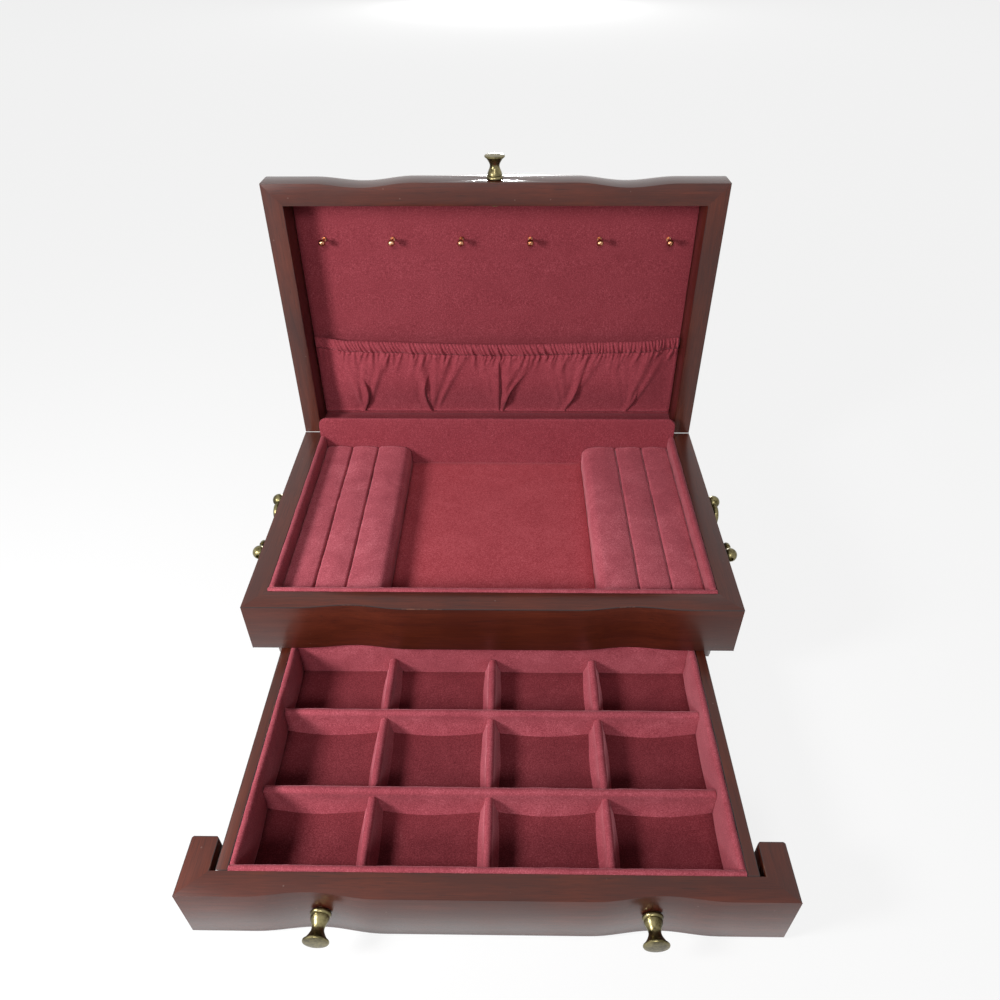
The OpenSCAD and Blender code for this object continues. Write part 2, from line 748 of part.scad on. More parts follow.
module lid_side_rail(side)
  color(wood)
  lid_pose()
  on_side(side)
  intersection() {
    along_y(y_front, y_back)
      polygon([for (p = rail_section(side_round, lid_side_t)) [half_w - p[0], lid_z + p[1]]]);
    translate([0, 0, lid_z]) linear_extrude(lid_h)
      polygon([[half_w, y_front], [half_w, y_back], [lid_in_x, y_back], [lid_in_x, lid_in_front]]);
  }
module lid_left_rail() lid_side_rail(-1);
module lid_right_rail() lid_side_rail(1);

// The front rail is its section swept along the wavy line, cut to its mitres
module lid_front_rail()
  color(wood)
  lid_pose()
  difference() {
    intersection() {
      wavy_rail();
      margin = crown_depth + cut;
      translate([0, 0, lid_z]) linear_extrude(lid_h)
        polygon([
          [-half_w, y_front], [-half_w, y_front - margin], [half_w, y_front - margin], [half_w, y_front],
          [lid_in_x, lid_in_front], [-lid_in_x, lid_in_front]
        ]);
    }
    at_lid_knob() screw_hole(knob_screw_d, lid_front_t + crown_depth + cut);
  }

module wavy_rail() {
  section = rail_section(front_round, lid_front_t);
  m = len(section);
  n = len(wave_xs);
  ring = function (x) [for (p = section)
    [x, y_front + p[0] - wave(x) * (1 - p[0] / lid_front_t), lid_z + p[1]]];
  points = [for (x = wave_xs) each ring(x)];
  walls = [for (i = [0:n - 2], j = [0:m - 1])
    let (a = i * m + j, b = i * m + (j + 1) % m)
    each [[a, a + m, b], [b, a + m, b + m]]];
  polyhedron(points, concat([[for (j = [0:m - 1]) j]], walls, [[for (j = [m - 1:-1:0]) (n - 1) * m + j]]));
}

// Puts what is drawn along +Z at the lid knob's screw, pointing out of the front from the rail's inside
module at_lid_knob()
  translate([0, lid_in_front, lid_z + lid_edge_h / 2]) rotate([90, 0, 0]) children();

module lid_back_rail()
  color(wood)
  lid_pose()
  difference() {
    block(-lid_in_x, lid_in_x, lid_in_back, y_back, lid_z, lid_top);
    hinge_mortises(1);
    at_hinge_screws(1) screw_hole(hinge_screw_d, lid_back_t - hinge_sink);
  }

module lid_top_panel()
  color(wood)
  lid_pose()
  difference() {
    block(-lid_in_x, lid_in_x, lid_in_front, lid_in_back, panel_z, lid_top);
    at_hooks() hook_hole();
  }

module lid_lining()
  color(velvet)
  lid_pose()
  difference() {
    block(-lid_in_x + soft_clear, lid_in_x - soft_clear, lid_in_front + soft_clear, lid_in_back,
      lining_z, panel_z);
    at_hooks() hook_hole();
  }

module lid_hinge_strip()
  color(velvet)
  lid_pose()
  block(-lid_in_x + soft_clear, lid_in_x - soft_clear, lid_in_back - lid_strip_t, lid_in_back,
    lid_z + soft_clear, lining_z);

// Puts what is drawn along +Z at each hook, pointing from the lining's face into the lid
module at_hooks()
  for (i = [0:hooks - 1])
    translate([(i - (hooks - 1) / 2) * hook_pitch, hinge_y - hook_up, lining_z]) children();

hook_screw_in = panel_z - lining_z + lid_panel_t / 2;
module hook_hole() screw_hole(hook_shank_d, hook_screw_in);

module necklace_hooks()
  color(gold_brass)
  lid_pose()
  at_hooks() {
    cylinder(d = hook_shank_d, h = hook_screw_in - tip_clear);
    translate([0, 0, -hook_reach]) cylinder(d = hook_shank_d, h = hook_reach);
    translate([0, 0, -hook_reach]) sphere(d = hook_ball_d);
    translate([0, 0, -hook_collar_h]) cylinder(d = hook_collar_d, h = hook_collar_h);
  }

// The pocket is one sheet of cloth, sewn to the lining at its foot and sides, open at its hem

pocket_half = lid_in_x - 2 * soft_clear;
pleat_pitch = 2 * (pocket_half - pleat_in) / (pocket_pleats - 1);
pleat_xs = [for (i = [0:pocket_pleats - 1]) (i - (pocket_pleats - 1) / 2) * pleat_pitch];
pleat_offsets = [-0.4, -0.22, -0.12, -0.06, 0, 0.06, 0.12, 0.22, 0.4];
side_hem = 14;
pleat_span = min(pleat_pitch, (pleat_in - side_hem / 2) / 0.45);
pocket_xs = concat(
  [-pocket_half],
  [-pocket_half + side_hem / 2],
  [for (x = pleat_xs, o = pleat_offsets) x + o * pleat_span],
  [pocket_half - side_hem / 2],
  [pocket_half]
);
foot_rows = 6;
hem_v = 1 - pocket_hem / (pocket_top - pocket_foot);
pocket_vs = concat([for (i = [0:foot_rows]) hem_v * i / foot_rows], [(1 + hem_v) / 2, 1]);
hem_pinch = 0.7;
swell_share = 0.45;
pleat_share = 0.7;
pleat_lean = 8;
pleat_w = 4.5;
// Depth of the pleats at x and at height v, from foot to hem: a pinch with a soft fold beside it
function pleat(x, v) =
  let (fade = ease(1 - v / pleat_share) * ease(v / 0.06))
  fade * sum([for (p = pleat_xs)
    let (q = (x - p - pleat_lean * v) / pleat_w)
    pleat_depth * (exp(-(q - 1.2) * (q - 1.2)) - exp(-(q + 0.6) * (q + 0.6)))]);
function sum(list, i = 0) = i < len(list) ? list[i] + sum(list, i + 1) : 0;
// How far the cloth's inner face stands off the lining; the stitches along the hem draw it in
function stand_off(x, v) =
  let (inset = (pocket_half - abs(x)) / side_hem, stitch = exp(-pow((v - hem_v) / 0.04, 2)))
  ease(inset) * ease(v / swell_share) * (pocket_swell - pocket_cloth + pleat(x, v) - hem_pinch * stitch);
function hem_line(x) = pocket_top - pocket_sag * ease(1 - abs(x) / pocket_half);
function pocket_point(x, v, thick) =
  let (s = pocket_foot + v * (hem_line(x) - pocket_foot))
  [x, hinge_y - s, lining_z - stand_off(x, v) - thick];

module lid_pocket()
  color(velvet)
  lid_pose() {
    n = len(pocket_xs);
    m = len(pocket_vs);
    sheet = function (thick) [for (v = pocket_vs, x = pocket_xs) pocket_point(x, v, thick)];
    // Two triangles for the patch with corners a, b, c and d in turn
    patch = function (a, b, c, d) [[a, b, c], [a, c, d]];
    last = n * m;
    faces = concat(
      [for (j = [0:m - 2], i = [0:n - 2]) let (a = j * n + i) each patch(a, a + n, a + n + 1, a + 1)],
      [for (j = [0:m - 2], i = [0:n - 2]) let (a = last + j * n + i) each patch(a, a + 1, a + n + 1, a + n)],
      [for (i = [0:n - 2]) each patch(i, i + 1, last + i + 1, last + i)],
      [for (i = [0:n - 2]) let (a = (m - 1) * n + i) each patch(a, last + a, last + a + 1, a + 1)],
      [for (j = [0:m - 2]) let (a = j * n) each patch(a, last + a, last + a + n, a + n)],
      [for (j = [0:m - 2]) let (a = j * n + n - 1) each patch(a, a + n, last + a + n, last + a)]
    );
    polyhedron(concat(sheet(0), sheet(pocket_cloth)), faces);
  }

// Knobs: a base bead, a shoulder that narrows to the neck, and a flared, nearly flat face
bead_h = 2.4;
bead_groove = 0.3;
face_rim = 1.3;
face_crown = 0.3;
function knob_section() =
  let (base = knob_base_d / 2, neck = knob_neck_d / 2, face = knob_face_d / 2, rim_r = face_rim / 2,
    shoulder = base * 0.88, waist_z = knob_l * 0.54 + bead_groove,
    flare_z = knob_l - face_rim - face_crown, shoulder_z = bead_h + bead_groove, n = 6)
  concat(
    [[0, 0], [base - bead_h / 3, 0]],
    arc_points(base - bead_h / 2, bead_h / 2, bead_h / 2, -60, 75, 5),
    [for (i = [0:n])
      [neck + (shoulder - neck) * ease(1 - i / n), shoulder_z + (waist_z - shoulder_z) * i / n]],
    [for (i = [1:n]) let (t = i / n)
      [neck + (face - rim_r - neck) * pow(t, 1.6), waist_z + (flare_z - waist_z) * t]],
    arc_points(face - rim_r, knob_l - rim_r - face_crown, rim_r, -60, 90, 4),
    [[face * 0.55, knob_l - face_crown / 3], [0, knob_l]]
  );
module knob()
  color(brass)
  difference() {
    rotate_extrude() polygon(knob_section());
    screw_hole(knob_screw_d, knob_screw_in + tip_clear);
  }

module lid_knob()
  lid_pose() translate([0, y_front - crown_depth, lid_z + lid_edge_h / 2]) rotate([90, 0, 0]) knob();

module lid_knob_screw()
  color(brass)
  lid_pose() at_lid_knob()
  screw(knob_screw_d, knob_screw_head_r, screw_head_h, lid_front_t + crown_depth + knob_screw_in);

// Drawer

// Where a knob's bead seats on the wavy face around x
function seat_out(x) = max([for (i = [-2:2]) wave(x + i * knob_base_d / 4)]) + knob_seat_gap;

// Puts what is drawn along +Z at a drawer knob's screw, pointing out of the front from the front's inside
module at_drawer_knob(side)
  translate([side * knob_x, drawer_in_front, knob_z]) rotate([90, 0, 0]) children();

module drawer_front()
  color(wood)
  difference() {
    translate([0, 0, drawer_z]) linear_extrude(drawer_h)
      wavy_plan(face_y, drawer_in_front, half_w - return_t);
    for (side = [-1, 1]) at_drawer_knob(side) {
      screw_hole(knob_screw_d, drawer_front_t + crown_depth + cut);
      cylinder(r = knob_screw_head_r + sink_clear, h = 2 * (screw_head_h + sink_clear), center = true);
    }
  }

module drawer_return(side)
  color(wood)
  on_side(side)
  translate([0, 0, drawer_z]) linear_extrude(drawer_h) {
    x0 = half_w - return_t;
    y1 = face_y + return_l;
    c = return_chamfer;
    polygon([
      [half_w, face_y], [half_w, y1 - c], [half_w - c, y1],
      [x0 + c, y1], [x0, y1 - c], [x0, drawer_in_front]
    ]);
  }
module drawer_left_return() drawer_return(-1);
module drawer_right_return() drawer_return(1);

// A side runs past the drawer's back, and ends in a raised horn that keeps the open drawer level
// and stops it at the front rail
module drawer_side(side)
  color(wood)
  on_side(side)
  union() {
    block(side_in_x, side_out_x, drawer_in_front, drawer_end, drawer_foot, drawer_top);
    block(side_in_x, side_out_x, drawer_end - horn_l, drawer_end, drawer_top, deck_z - slide_gap);
  }
module drawer_left_side() drawer_side(-1);
module drawer_right_side() drawer_side(1);

module drawer_back()
  color(wood)
  block(-side_in_x, side_in_x, back_y, back_y + drawer_back_t, drawer_foot, drawer_top);

module drawer_bottom()
  color(wood)
  block(-side_in_x, side_in_x, drawer_in_front, back_y, bottom_z, pad_z);

module drawer_floor_pad()
  color(velvet)
  block(-inside_x, inside_x, inside_y0, inside_y1, pad_z, drawer_floor);

module drawer_liner_front()
  color(velvet_light)
  along_x(-side_in_x, side_in_x) liner_section(drawer_in_front, inside_y0, pad_z, drawer_liner_top);

module drawer_liner_back()
  color(velvet_light)
  along_x(-side_in_x, side_in_x) liner_section(inside_y1, back_y, pad_z, drawer_liner_top);

module drawer_liner_side(side)
  color(velvet_light)
  on_side(side)
  along_y(inside_y0, inside_y1) liner_section(inside_x, side_in_x, pad_z, drawer_liner_top);
module drawer_liner_left() drawer_liner_side(-1);
module drawer_liner_right() drawer_liner_side(1);

// Places of the cross dividers
cross_xs = [for (i = [1:columns - 1]) (i - columns / 2) * cross_pitch];
divider_end = inside_x - soft_clear;
cross_gap = 2 * soft_clear;
long_swell = 1.5;
cross_swell = 0.6;

module long_divider(from_face)
  color(velvet_light)
  translate([0, face_y + from_face, drawer_floor])
  padded_bar(divider_h, concat([-divider_end], cross_xs, [divider_end]), neck_r - divider_r, long_swell);
module drawer_divider_front() long_divider(front_divider_y);
module drawer_divider_rear() long_divider(rear_divider_y);

module cross_dividers(y0, y1)
  color(velvet_light)
  for (x = cross_xs)
    translate([x, 0, drawer_floor]) rotate([0, 0, 90])
    padded_bar(cross_h, [y0 + cross_gap, y1 - cross_gap], 0, cross_swell);
module cross_dividers_front() cross_dividers(inside_y0, face_y + front_divider_y - neck_r);
module cross_dividers_middle()
  cross_dividers(face_y + front_divider_y + neck_r, face_y + rear_divider_y - neck_r);
module cross_dividers_rear() cross_dividers(face_y + rear_divider_y + neck_r, inside_y1);

module drawer_knob(side)
  translate([side * knob_x, face_y - seat_out(knob_x), knob_z]) rotate([90, 0, 0]) knob();
module drawer_left_knob() drawer_knob(-1);
module drawer_right_knob() drawer_knob(1);

module drawer_knob_screws()
  color(brass)
  for (side = [-1, 1])
    at_drawer_knob(side)
    translate([0, 0, screw_head_h + sink_clear])
    screw(knob_screw_d, knob_screw_head_r, screw_head_h,
      drawer_front_t + seat_out(knob_x) - screw_head_h - sink_clear + knob_screw_in);

case_front_rail();
case_left_side();
case_right_side();
case_back();
case_bottom();
tray_deck();
drawer_guides();
base_felt();
tray_floor_pad();
tray_liner_front();
tray_liner_back();
tray_liner_left();
tray_liner_right();
ring_rolls_left();
ring_rolls_right();
hinge_left_case_leaf();
hinge_right_case_leaf();
hinge_pins();
hinge_case_screws();
handle_left_posts();
handle_right_posts();
handle_post_screws();
lid_front_rail();
lid_left_rail();
lid_right_rail();
lid_back_rail();
lid_top_panel();
lid_lining();
lid_hinge_strip();
lid_pocket();
necklace_hooks();
lid_knob();
lid_knob_screw();
hinge_left_lid_leaf();
hinge_right_lid_leaf();
hinge_lid_screws();
drawer_front();
drawer_left_return();
drawer_right_return();
drawer_left_side();
drawer_right_side();
drawer_back();
drawer_bottom();
drawer_floor_pad();
drawer_liner_front();
drawer_liner_back();
drawer_liner_left();
drawer_liner_right();
drawer_divider_front();
drawer_divider_rear();
cross_dividers_front();
cross_dividers_middle();
cross_dividers_rear();
drawer_left_knob();
drawer_right_knob();
drawer_knob_screws();
left_bail();
right_bail();
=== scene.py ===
"""Looks of a two-tier jewellery chest: lacquered cherry boards, velvet linings and antique brass."""

import json
import math

import bpy
import numpy as np
from mathutils import Matrix, Vector, noise


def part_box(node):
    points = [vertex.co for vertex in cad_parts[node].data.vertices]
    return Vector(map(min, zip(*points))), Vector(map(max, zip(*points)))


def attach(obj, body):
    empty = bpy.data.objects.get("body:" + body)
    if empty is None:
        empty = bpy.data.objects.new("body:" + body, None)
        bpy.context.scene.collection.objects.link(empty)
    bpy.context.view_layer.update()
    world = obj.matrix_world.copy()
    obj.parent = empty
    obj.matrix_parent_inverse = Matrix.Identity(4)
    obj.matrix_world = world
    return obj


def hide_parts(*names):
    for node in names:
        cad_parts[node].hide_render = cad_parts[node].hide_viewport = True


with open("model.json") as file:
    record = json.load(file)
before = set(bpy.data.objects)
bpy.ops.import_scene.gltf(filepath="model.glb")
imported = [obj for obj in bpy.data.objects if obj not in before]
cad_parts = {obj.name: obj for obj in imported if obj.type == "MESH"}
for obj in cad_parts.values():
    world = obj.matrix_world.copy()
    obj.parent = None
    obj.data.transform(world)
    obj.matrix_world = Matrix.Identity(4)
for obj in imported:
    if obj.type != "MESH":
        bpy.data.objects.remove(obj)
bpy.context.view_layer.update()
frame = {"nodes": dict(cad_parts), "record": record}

MM = 0.001
BEHAVIOUR = frame["record"]["behaviour"]
BODY = {node: body for body, nodes in BEHAVIOUR["bodies"].items() for node in nodes}


def srgb(red, green, blue):
    """A colour as a screen shows it, from 0 to 255, as linear light."""
    parts = []
    for part in (red / 255, green / 255, blue / 255):
        parts.append(part / 12.92 if part <= 0.04045 else ((part + 0.055) / 1.055) ** 2.4)
    return (*parts, 1.0)


# Shader sums

class Socket:
    """A node's output. Sums on it add Math nodes to its finish."""

    def __init__(self, finish, output):
        self.finish = finish
        self.output = output

    def sum(self, operation, first, second):
        return self.finish.node("ShaderNodeMath", {"operation": operation}, {0: first, 1: second})

    def __add__(self, other):
        return self.sum("ADD", self, other)

    __radd__ = __add__

    def __sub__(self, other):
        return self.sum("SUBTRACT", self, other)

    def __rsub__(self, other):
        return self.sum("SUBTRACT", other, self)

    def __mul__(self, other):
        return self.sum("MULTIPLY", self, other)

    __rmul__ = __mul__

    def step(self, low, high):
        """0 below low, 1 above high, and a soft step between them."""
        ends = {0: self, 1: low, 2: high}
        return self.finish.node("ShaderNodeMapRange", {"interpolation_type": "SMOOTHSTEP"}, ends)


class NodeTree:
    """The nodes of a material or of the world."""

    def __init__(self, tree):
        self.tree = tree

    def node(self, kind, settings=None, sockets=None, output=0):
        """Adds a node, sets its settings and then its sockets, and gives one of its outputs."""
        made = self.tree.nodes.new(kind)
        for key, value in (settings or {}).items():
            if key == "stops":
                self.set_stops(made.color_ramp, value)
            else:
                setattr(made, key, value)
        for key, value in (sockets or {}).items():
            self.feed(made.inputs[key], value)
        return Socket(self, made.outputs[output])

    def feed(self, socket, value):
        """Links a node's input to a socket, or sets it to a plain value."""
        if isinstance(value, Socket):
            self.tree.links.new(value.output, socket)
        else:
            socket.default_value = value

    @staticmethod
    def set_stops(ramp, stops):
        while len(ramp.elements) < len(stops):
            ramp.elements.new(1.0)
        for element, (place, colour) in zip(ramp.elements, stops):
            element.position = place
            element.color = colour


class Finish(NodeTree):
    """A material made of nodes around one Principled shader."""

    def __init__(self, name, constants):
        self.material = bpy.data.materials.new(name)
        self.material.use_nodes = True
        super().__init__(self.material.node_tree)
        self.shader = self.tree.nodes["Principled BSDF"]
        for socket, value in constants.items():
            self.shader.inputs[socket].default_value = value

    def shade(self, **wires):
        """Links wires to the shader's sockets: base_color goes to Base Color."""
        for key, value in wires.items():
            self.feed(self.shader.inputs[key.replace("_", " ").title()], value)
        return self.material

    def place(self, shift=(0, 0, 0), stretch=(1, 1, 1)):
        """Points of the piece in metres, stretched and moved."""
        point = self.node("ShaderNodeTexCoord", output="Object")
        sockets = {"Vector": point, "Location": shift, "Scale": stretch}
        return self.node("ShaderNodeMapping", None, sockets)

    def noise(self, place, scale, detail=2.0, rough=0.5, bend=0.0):
        sockets = {
            "Vector": place, "Scale": scale, "Detail": detail,
            "Roughness": rough, "Distortion": bend,
        }
        return self.node("ShaderNodeTexNoise", None, sockets)

    def specks(self, place, scale):
        """Distance to the nearest of many scattered points."""
        return self.node("ShaderNodeTexVoronoi", None, {"Vector": place, "Scale": scale})

    def ramp(self, factor, *stops):
        return self.node("ShaderNodeValToRGB", {"stops": stops}, {0: factor})

    def mix(self, factor, first, second):
        """One colour over another, by a factor of 0 to 1."""
        sockets = {0: factor, 6: first, 7: second}
        return self.node("ShaderNodeMix", {"data_type": "RGBA"}, sockets, output=2)

    def bump(self, height, depth, strength):
        """A normal from a height of 0 to 1, where 1 stands depth metres proud."""
        sockets = {"Strength": strength, "Distance": depth, "Height": height}
        return self.node("ShaderNodeBump", None, sockets)


# Finishes

def along_grain(grain, times):
    """A stretch that draws a pattern out along one axis."""
    return tuple(1 if axis == grain else times for axis in "xyz")


def cherry(name, grain, shift):
    """Dark cherry stain under a worn satin lacquer, with its grain along one axis."""
    finish = Finish(name, {"Coat Roughness": 0.24, "Coat IOR": 1.42, "Specular IOR Level": 0.15})
    place = finish.place(shift)
    streaks = finish.place(shift, along_grain(grain, 22))
    pores = finish.place(shift, along_grain(grain, 30))
    figure = finish.noise(streaks, 9, detail=4, rough=0.55, bend=0.6)
    fine = finish.noise(streaks, 60, detail=3, rough=0.6)
    pore = finish.noise(pores, 80, detail=1).step(0.6, 0.72)
    cloud = finish.noise(place, 16, detail=3)
    tone = figure * 0.32 + fine * 0.26 + cloud * 0.42
    stain = finish.ramp(
        tone,
        (0.32, srgb(50, 16, 9)),
        (0.5, srgb(68, 25, 13)),
        (0.68, srgb(90, 37, 21)),
    )
    stain = finish.mix(pore * 0.5, stain, srgb(30, 10, 8))
    peel = finish.noise(place, 1150, detail=1.5)
    gloss = 0.38 + cloud * 0.12 + peel * 0.06
    dust = 1 - finish.specks(place, 95).step(0.03, 0.05)
    stain = finish.mix(dust * 0.22, stain, srgb(150, 132, 126))
    height = peel * 0.75 - pore * 0.3
    return finish.shade(
        base_color=stain,
        roughness=gloss + dust * 0.3,
        coat_weight=0.95 - cloud * 0.3 - dust * 0.4,
        normal=finish.bump(height, 0.06 * MM, 0.6),
    )


def arris(name, shift):
    """The eased edges of the boards: a base darker than the board faces, painted shade along the rounded
    edge, with the lacquer rubbed thin and pale in places.
    """
    finish = Finish(name, {"Coat Roughness": 0.2, "Coat IOR": 1.55, "Specular IOR Level": 0.15})
    place = finish.place(shift)
    rubbed = finish.noise(place, 60, detail=4, rough=0.65).step(0.54, 0.7)
    return finish.shade(
        # Dark base: painted shade along the arris. Pale patches: rubbed wear.
        base_color=finish.mix(rubbed * 0.6, srgb(38, 15, 12), srgb(128, 84, 66)),
        roughness=0.3 + rubbed * 0.15,
        coat_weight=0.8 - rubbed * 0.5,
    )


def bare_board(name, grain, shift):
    """Unpolished board inside the chest."""
    finish = Finish(name, {})
    streaks = finish.place(shift, along_grain(grain, 18))
    figure = finish.noise(streaks, 16, detail=5, rough=0.6)
    return finish.shade(
        base_color=finish.ramp(figure, (0.3, srgb(96, 58, 42)), (0.7, srgb(150, 100, 74))),
        roughness=0.62 + figure * 0.2,
        normal=finish.bump(figure, 0.1 * MM, 0.5),
    )


def velvet(name, shades, nap, sheen=0.5):
    """Short-piled velvet: a fine speckle, brushed patches and a pale sheen at its turns."""
    constants = {
        "Sheen Weight": sheen, "Sheen Roughness": 0.35, "Sheen Tint": srgb(224, 150, 160),
        "Specular IOR Level": 0.12,
    }
    finish = Finish(name, constants)
    place = finish.place()
    fibre = finish.noise(place, 1700, detail=1.5, rough=0.6)
    tuft = finish.noise(place, 700, detail=2, rough=0.6)
    brushed = finish.noise(place, 52, detail=4, rough=0.6, bend=0.8)
    broad = finish.noise(place, 11, detail=2)
    grain = (fibre - 0.5) * 0.5 + (tuft - 0.5) * 0.15
    tone = 0.5 + grain + (brushed - 0.5) * (0.28 * nap) + (broad - 0.5) * (0.16 * nap)
    dark, middle, pale = (srgb(*shade) for shade in shades)
    pile = finish.ramp(tone, (0.3, dark), (0.5, middle), (0.72, pale))
    lint = 1 - finish.specks(place, 150).step(0.02, 0.045)
    height = fibre * 0.6 + tuft * 0.4
    return finish.shade(
        base_color=finish.mix(lint * 0.22, pile, srgb(214, 150, 150)),
        roughness=0.82 + tuft * 0.15,
        normal=finish.bump(height, 0.3 * MM, 0.6),
    )


def felt(name):
    """Dark pressed felt under the case."""
    finish = Finish(name, {"Sheen Weight": 0.2, "Sheen Roughness": 0.6})
    wool = finish.noise(finish.place(), 600, detail=4, rough=0.75)
    return finish.shade(
        base_color=finish.ramp(wool, (0.3, srgb(48, 20, 22)), (0.7, srgb(86, 40, 42))),
        roughness=0.95 - wool * 0.05,
        normal=finish.bump(wool, 0.4 * MM, 0.7),
    )


def brass(name, dark, pale, rough):
    """Cast and lacquered brass with patches of brown patina."""
    finish = Finish(name, {"Metallic": 1.0})
    place = finish.place()
    patina = finish.noise(place, 130, detail=4, rough=0.6, bend=0.4)
    fine = finish.noise(place, 900, detail=2)
    tone = patina * 0.75 + fine * 0.25
    height = patina * 0.5 + fine * 0.5
    return finish.shade(
        base_color=finish.ramp(tone, (0.36, srgb(*dark)), (0.62, srgb(*pale))),
        roughness=rough + patina * 0.14 + fine * 0.06,
        normal=finish.bump(height, 0.05 * MM, 0.35),
    )


# Mesh tools

def take(piece):
    """Makes a piece the only selected object, and the active one."""
    bpy.ops.object.select_all(action="DESELECT")
    piece.select_set(True)
    bpy.context.view_layer.objects.active = piece


def link(name, mesh):
    """Puts a mesh into the scene as a new piece."""
    piece = bpy.data.objects.new(name, mesh)
    bpy.context.scene.collection.objects.link(piece)
    take(piece)
    return piece


def edit(*steps):
    """Runs mesh operators on the whole active piece."""
    bpy.ops.object.mode_set(mode="EDIT")
    bpy.ops.mesh.select_all(action="SELECT")
    for operator, settings in steps:
        operator(**settings)
    bpy.ops.object.mode_set(mode="OBJECT")


def finish_with(piece, kind, **settings):
    """Adds a modifier and applies it."""
    take(piece)
    modifier = piece.modifiers.new(kind.title(), kind)
    for key, value in settings.items():
        setattr(modifier, key, value)
    bpy.ops.object.modifier_apply(modifier=modifier.name)


def copy_of(node, name):
    """A copy of a CAD node, its loose triangles merged into clean faces."""
    piece = link(name, frame["nodes"][node].data.copy())
    bpy.ops.mesh.customdata_custom_splitnormals_clear()
    edit(
        (bpy.ops.mesh.remove_doubles, {"threshold": 1e-6}),
        (bpy.ops.mesh.dissolve_limited, {"angle_limit": math.radians(0.2)}),
    )
    piece.data.materials.clear()
    return piece


def joined(pieces):
    """Joins pieces into the first of them."""
    take(pieces[0])
    for piece in pieces[1:]:
        piece.select_set(True)
    bpy.ops.object.join()
    return pieces[0]


def smooth(piece, angle):
    """Smooth shading, but for edges sharper than an angle in degrees."""
    take(piece)
    bpy.ops.object.shade_smooth_by_angle(angle=math.radians(angle))


def dress(piece, node, slot, *materials):
    """Gives a piece its finish, and lets it stand for its CAD node on that node's body."""
    for material in materials:
        piece.data.materials.append(material)
    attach(piece, BODY[node])
    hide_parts(node)


# Boards

hinge = next(joint for joint in BEHAVIOUR["joints"] if joint["name"] == "lid_hinge")
HINGE = Vector(hinge["pos_m"])
LEAN = math.radians(hinge["range_deg"][1] - 90)
HINGE_REACH = 2.5 * MM
ARRIS = 0.5 * MM
SHARP = math.radians(40)
BOARD_GRAIN = {
    "x": [
        "case_front_rail", "case_back", "lid_front_rail", "lid_back_rail", "lid_top_panel",
        "drawer_front", "drawer_back",
    ],
    "y": [
        "case_left_side", "case_right_side", "drawer_left_return", "drawer_right_return",
        "drawer_left_side", "drawer_right_side",
    ],
    "z": ["lid_left_rail", "lid_right_rail"],
}
BARE_GRAIN = {"case_bottom": "x", "tray_deck": "x", "drawer_guides": "y", "drawer_bottom": "x"}


def by_hinge(point):
    """True for a point where lid and case meet along the hinge line."""
    return math.hypot(point.y - HINGE.y, point.z - HINGE.z) < HINGE_REACH


def is_mitre(normal):
    """True for the end of a board that meets its neighbour at about 45 degrees."""
    return 0.6 < abs(normal.x) < 0.8


def mark_arrises(piece):
    """Lets the bevel take the sharp edges, but not those of closed joints: mitres and the hinge line."""
    mesh = piece.data
    beside = {}
    for face in mesh.polygons:
        for key in face.edge_keys:
            beside.setdefault(key, []).append(face.normal)
    weights = mesh.attributes.new("bevel_weight_edge", "FLOAT", "EDGE")
    for edge, weight in zip(mesh.edges, weights.data):
        normals = beside[edge.key]
        sharp = len(normals) == 2 and normals[0].angle(normals[1]) > SHARP
        mitred = any(is_mitre(normal) for normal in normals)
        hinged = all(by_hinge(mesh.vertices[i].co) for i in edge.vertices)
        weight.value = 1.0 if sharp and not (mitred or hinged) else 0.0


def board(node, face, edge, slot):
    """A CAD board with eased edges, which have a material of their own."""
    piece = copy_of(node, node + "_board")
    dress(piece, node, slot, face, edge)
    mark_arrises(piece)
    finish_with(piece, "BEVEL", width=ARRIS, segments=2, limit_method="WEIGHT", material=1)
    smooth(piece, 30)


def plank(count):
    """A shift of the grain, so that each board is cut from another place."""
    return (0.37 * count, 0.11 * count, 0.23 * count)


boards = [(node, grain) for grain, nodes in BOARD_GRAIN.items() for node in nodes]
for count, (node, grain) in enumerate(boards):
    stained = cherry("cherry_" + node, grain, plank(count))
    board(node, stained, arris("arris_" + node, plank(count)), "wood")
for count, (node, grain) in enumerate(BARE_GRAIN.items(), start=len(boards)):
    bare = bare_board("bare_" + node, grain, plank(count))
    board(node, bare, bare, "inner_wood")

# Padded pieces

CELL = 1.5 * MM
END_ANGLES = [math.radians(angle) for angle in (0, 20, 40, 60, 80)]

tray_pile = velvet("velvet", ((122, 43, 50), (164, 67, 75), (208, 108, 116)), nap=0.4)
# The lid lining's copy of the velvet is darker than the tray's: painted shade.
lid_pile_painted_shade = velvet("velvet_lid_painted_shade", ((90, 30, 37), (122, 48, 56), (160, 78, 87)), nap=0.3)
# The pocket's copy of the velvet is darker than the tray's: painted shade.
pocket_pile_painted_shade = velvet("velvet_pocket_painted_shade", ((98, 33, 41), (134, 54, 63), (174, 87, 97)), nap=0.3)
# The drawer floor's copy of the velvet is darker than the tray's: painted shade of the cells.
cell_pile_painted_shade = velvet("velvet_cells_painted_shade", ((82, 27, 33), (112, 43, 50), (150, 72, 80)), nap=0.7)
# The liners' and dividers' copy of the velvet is set darker than the tray's: painted shade.
pad_pile_painted_shade = velvet("velvet_pads_painted_shade", ((114, 44, 53), (150, 67, 77), (196, 106, 117)), nap=0.9, sheen=1.0)
# The rolls' copy of the velvet is paler than the tray's: painted light on their lit tops.
roll_pile_painted_light = velvet("velvet_rolls_painted_light", ((128, 53, 63), (170, 81, 92), (214, 124, 135)), nap=1.0, sheen=0.9)


def lean(angle):
    """The turn about the hinge line that leans what stands upright back by an angle."""
    return Matrix.Translation(HINGE) @ Matrix.Rotation(-angle, 4, "X") @ Matrix.Translation(-HINGE)


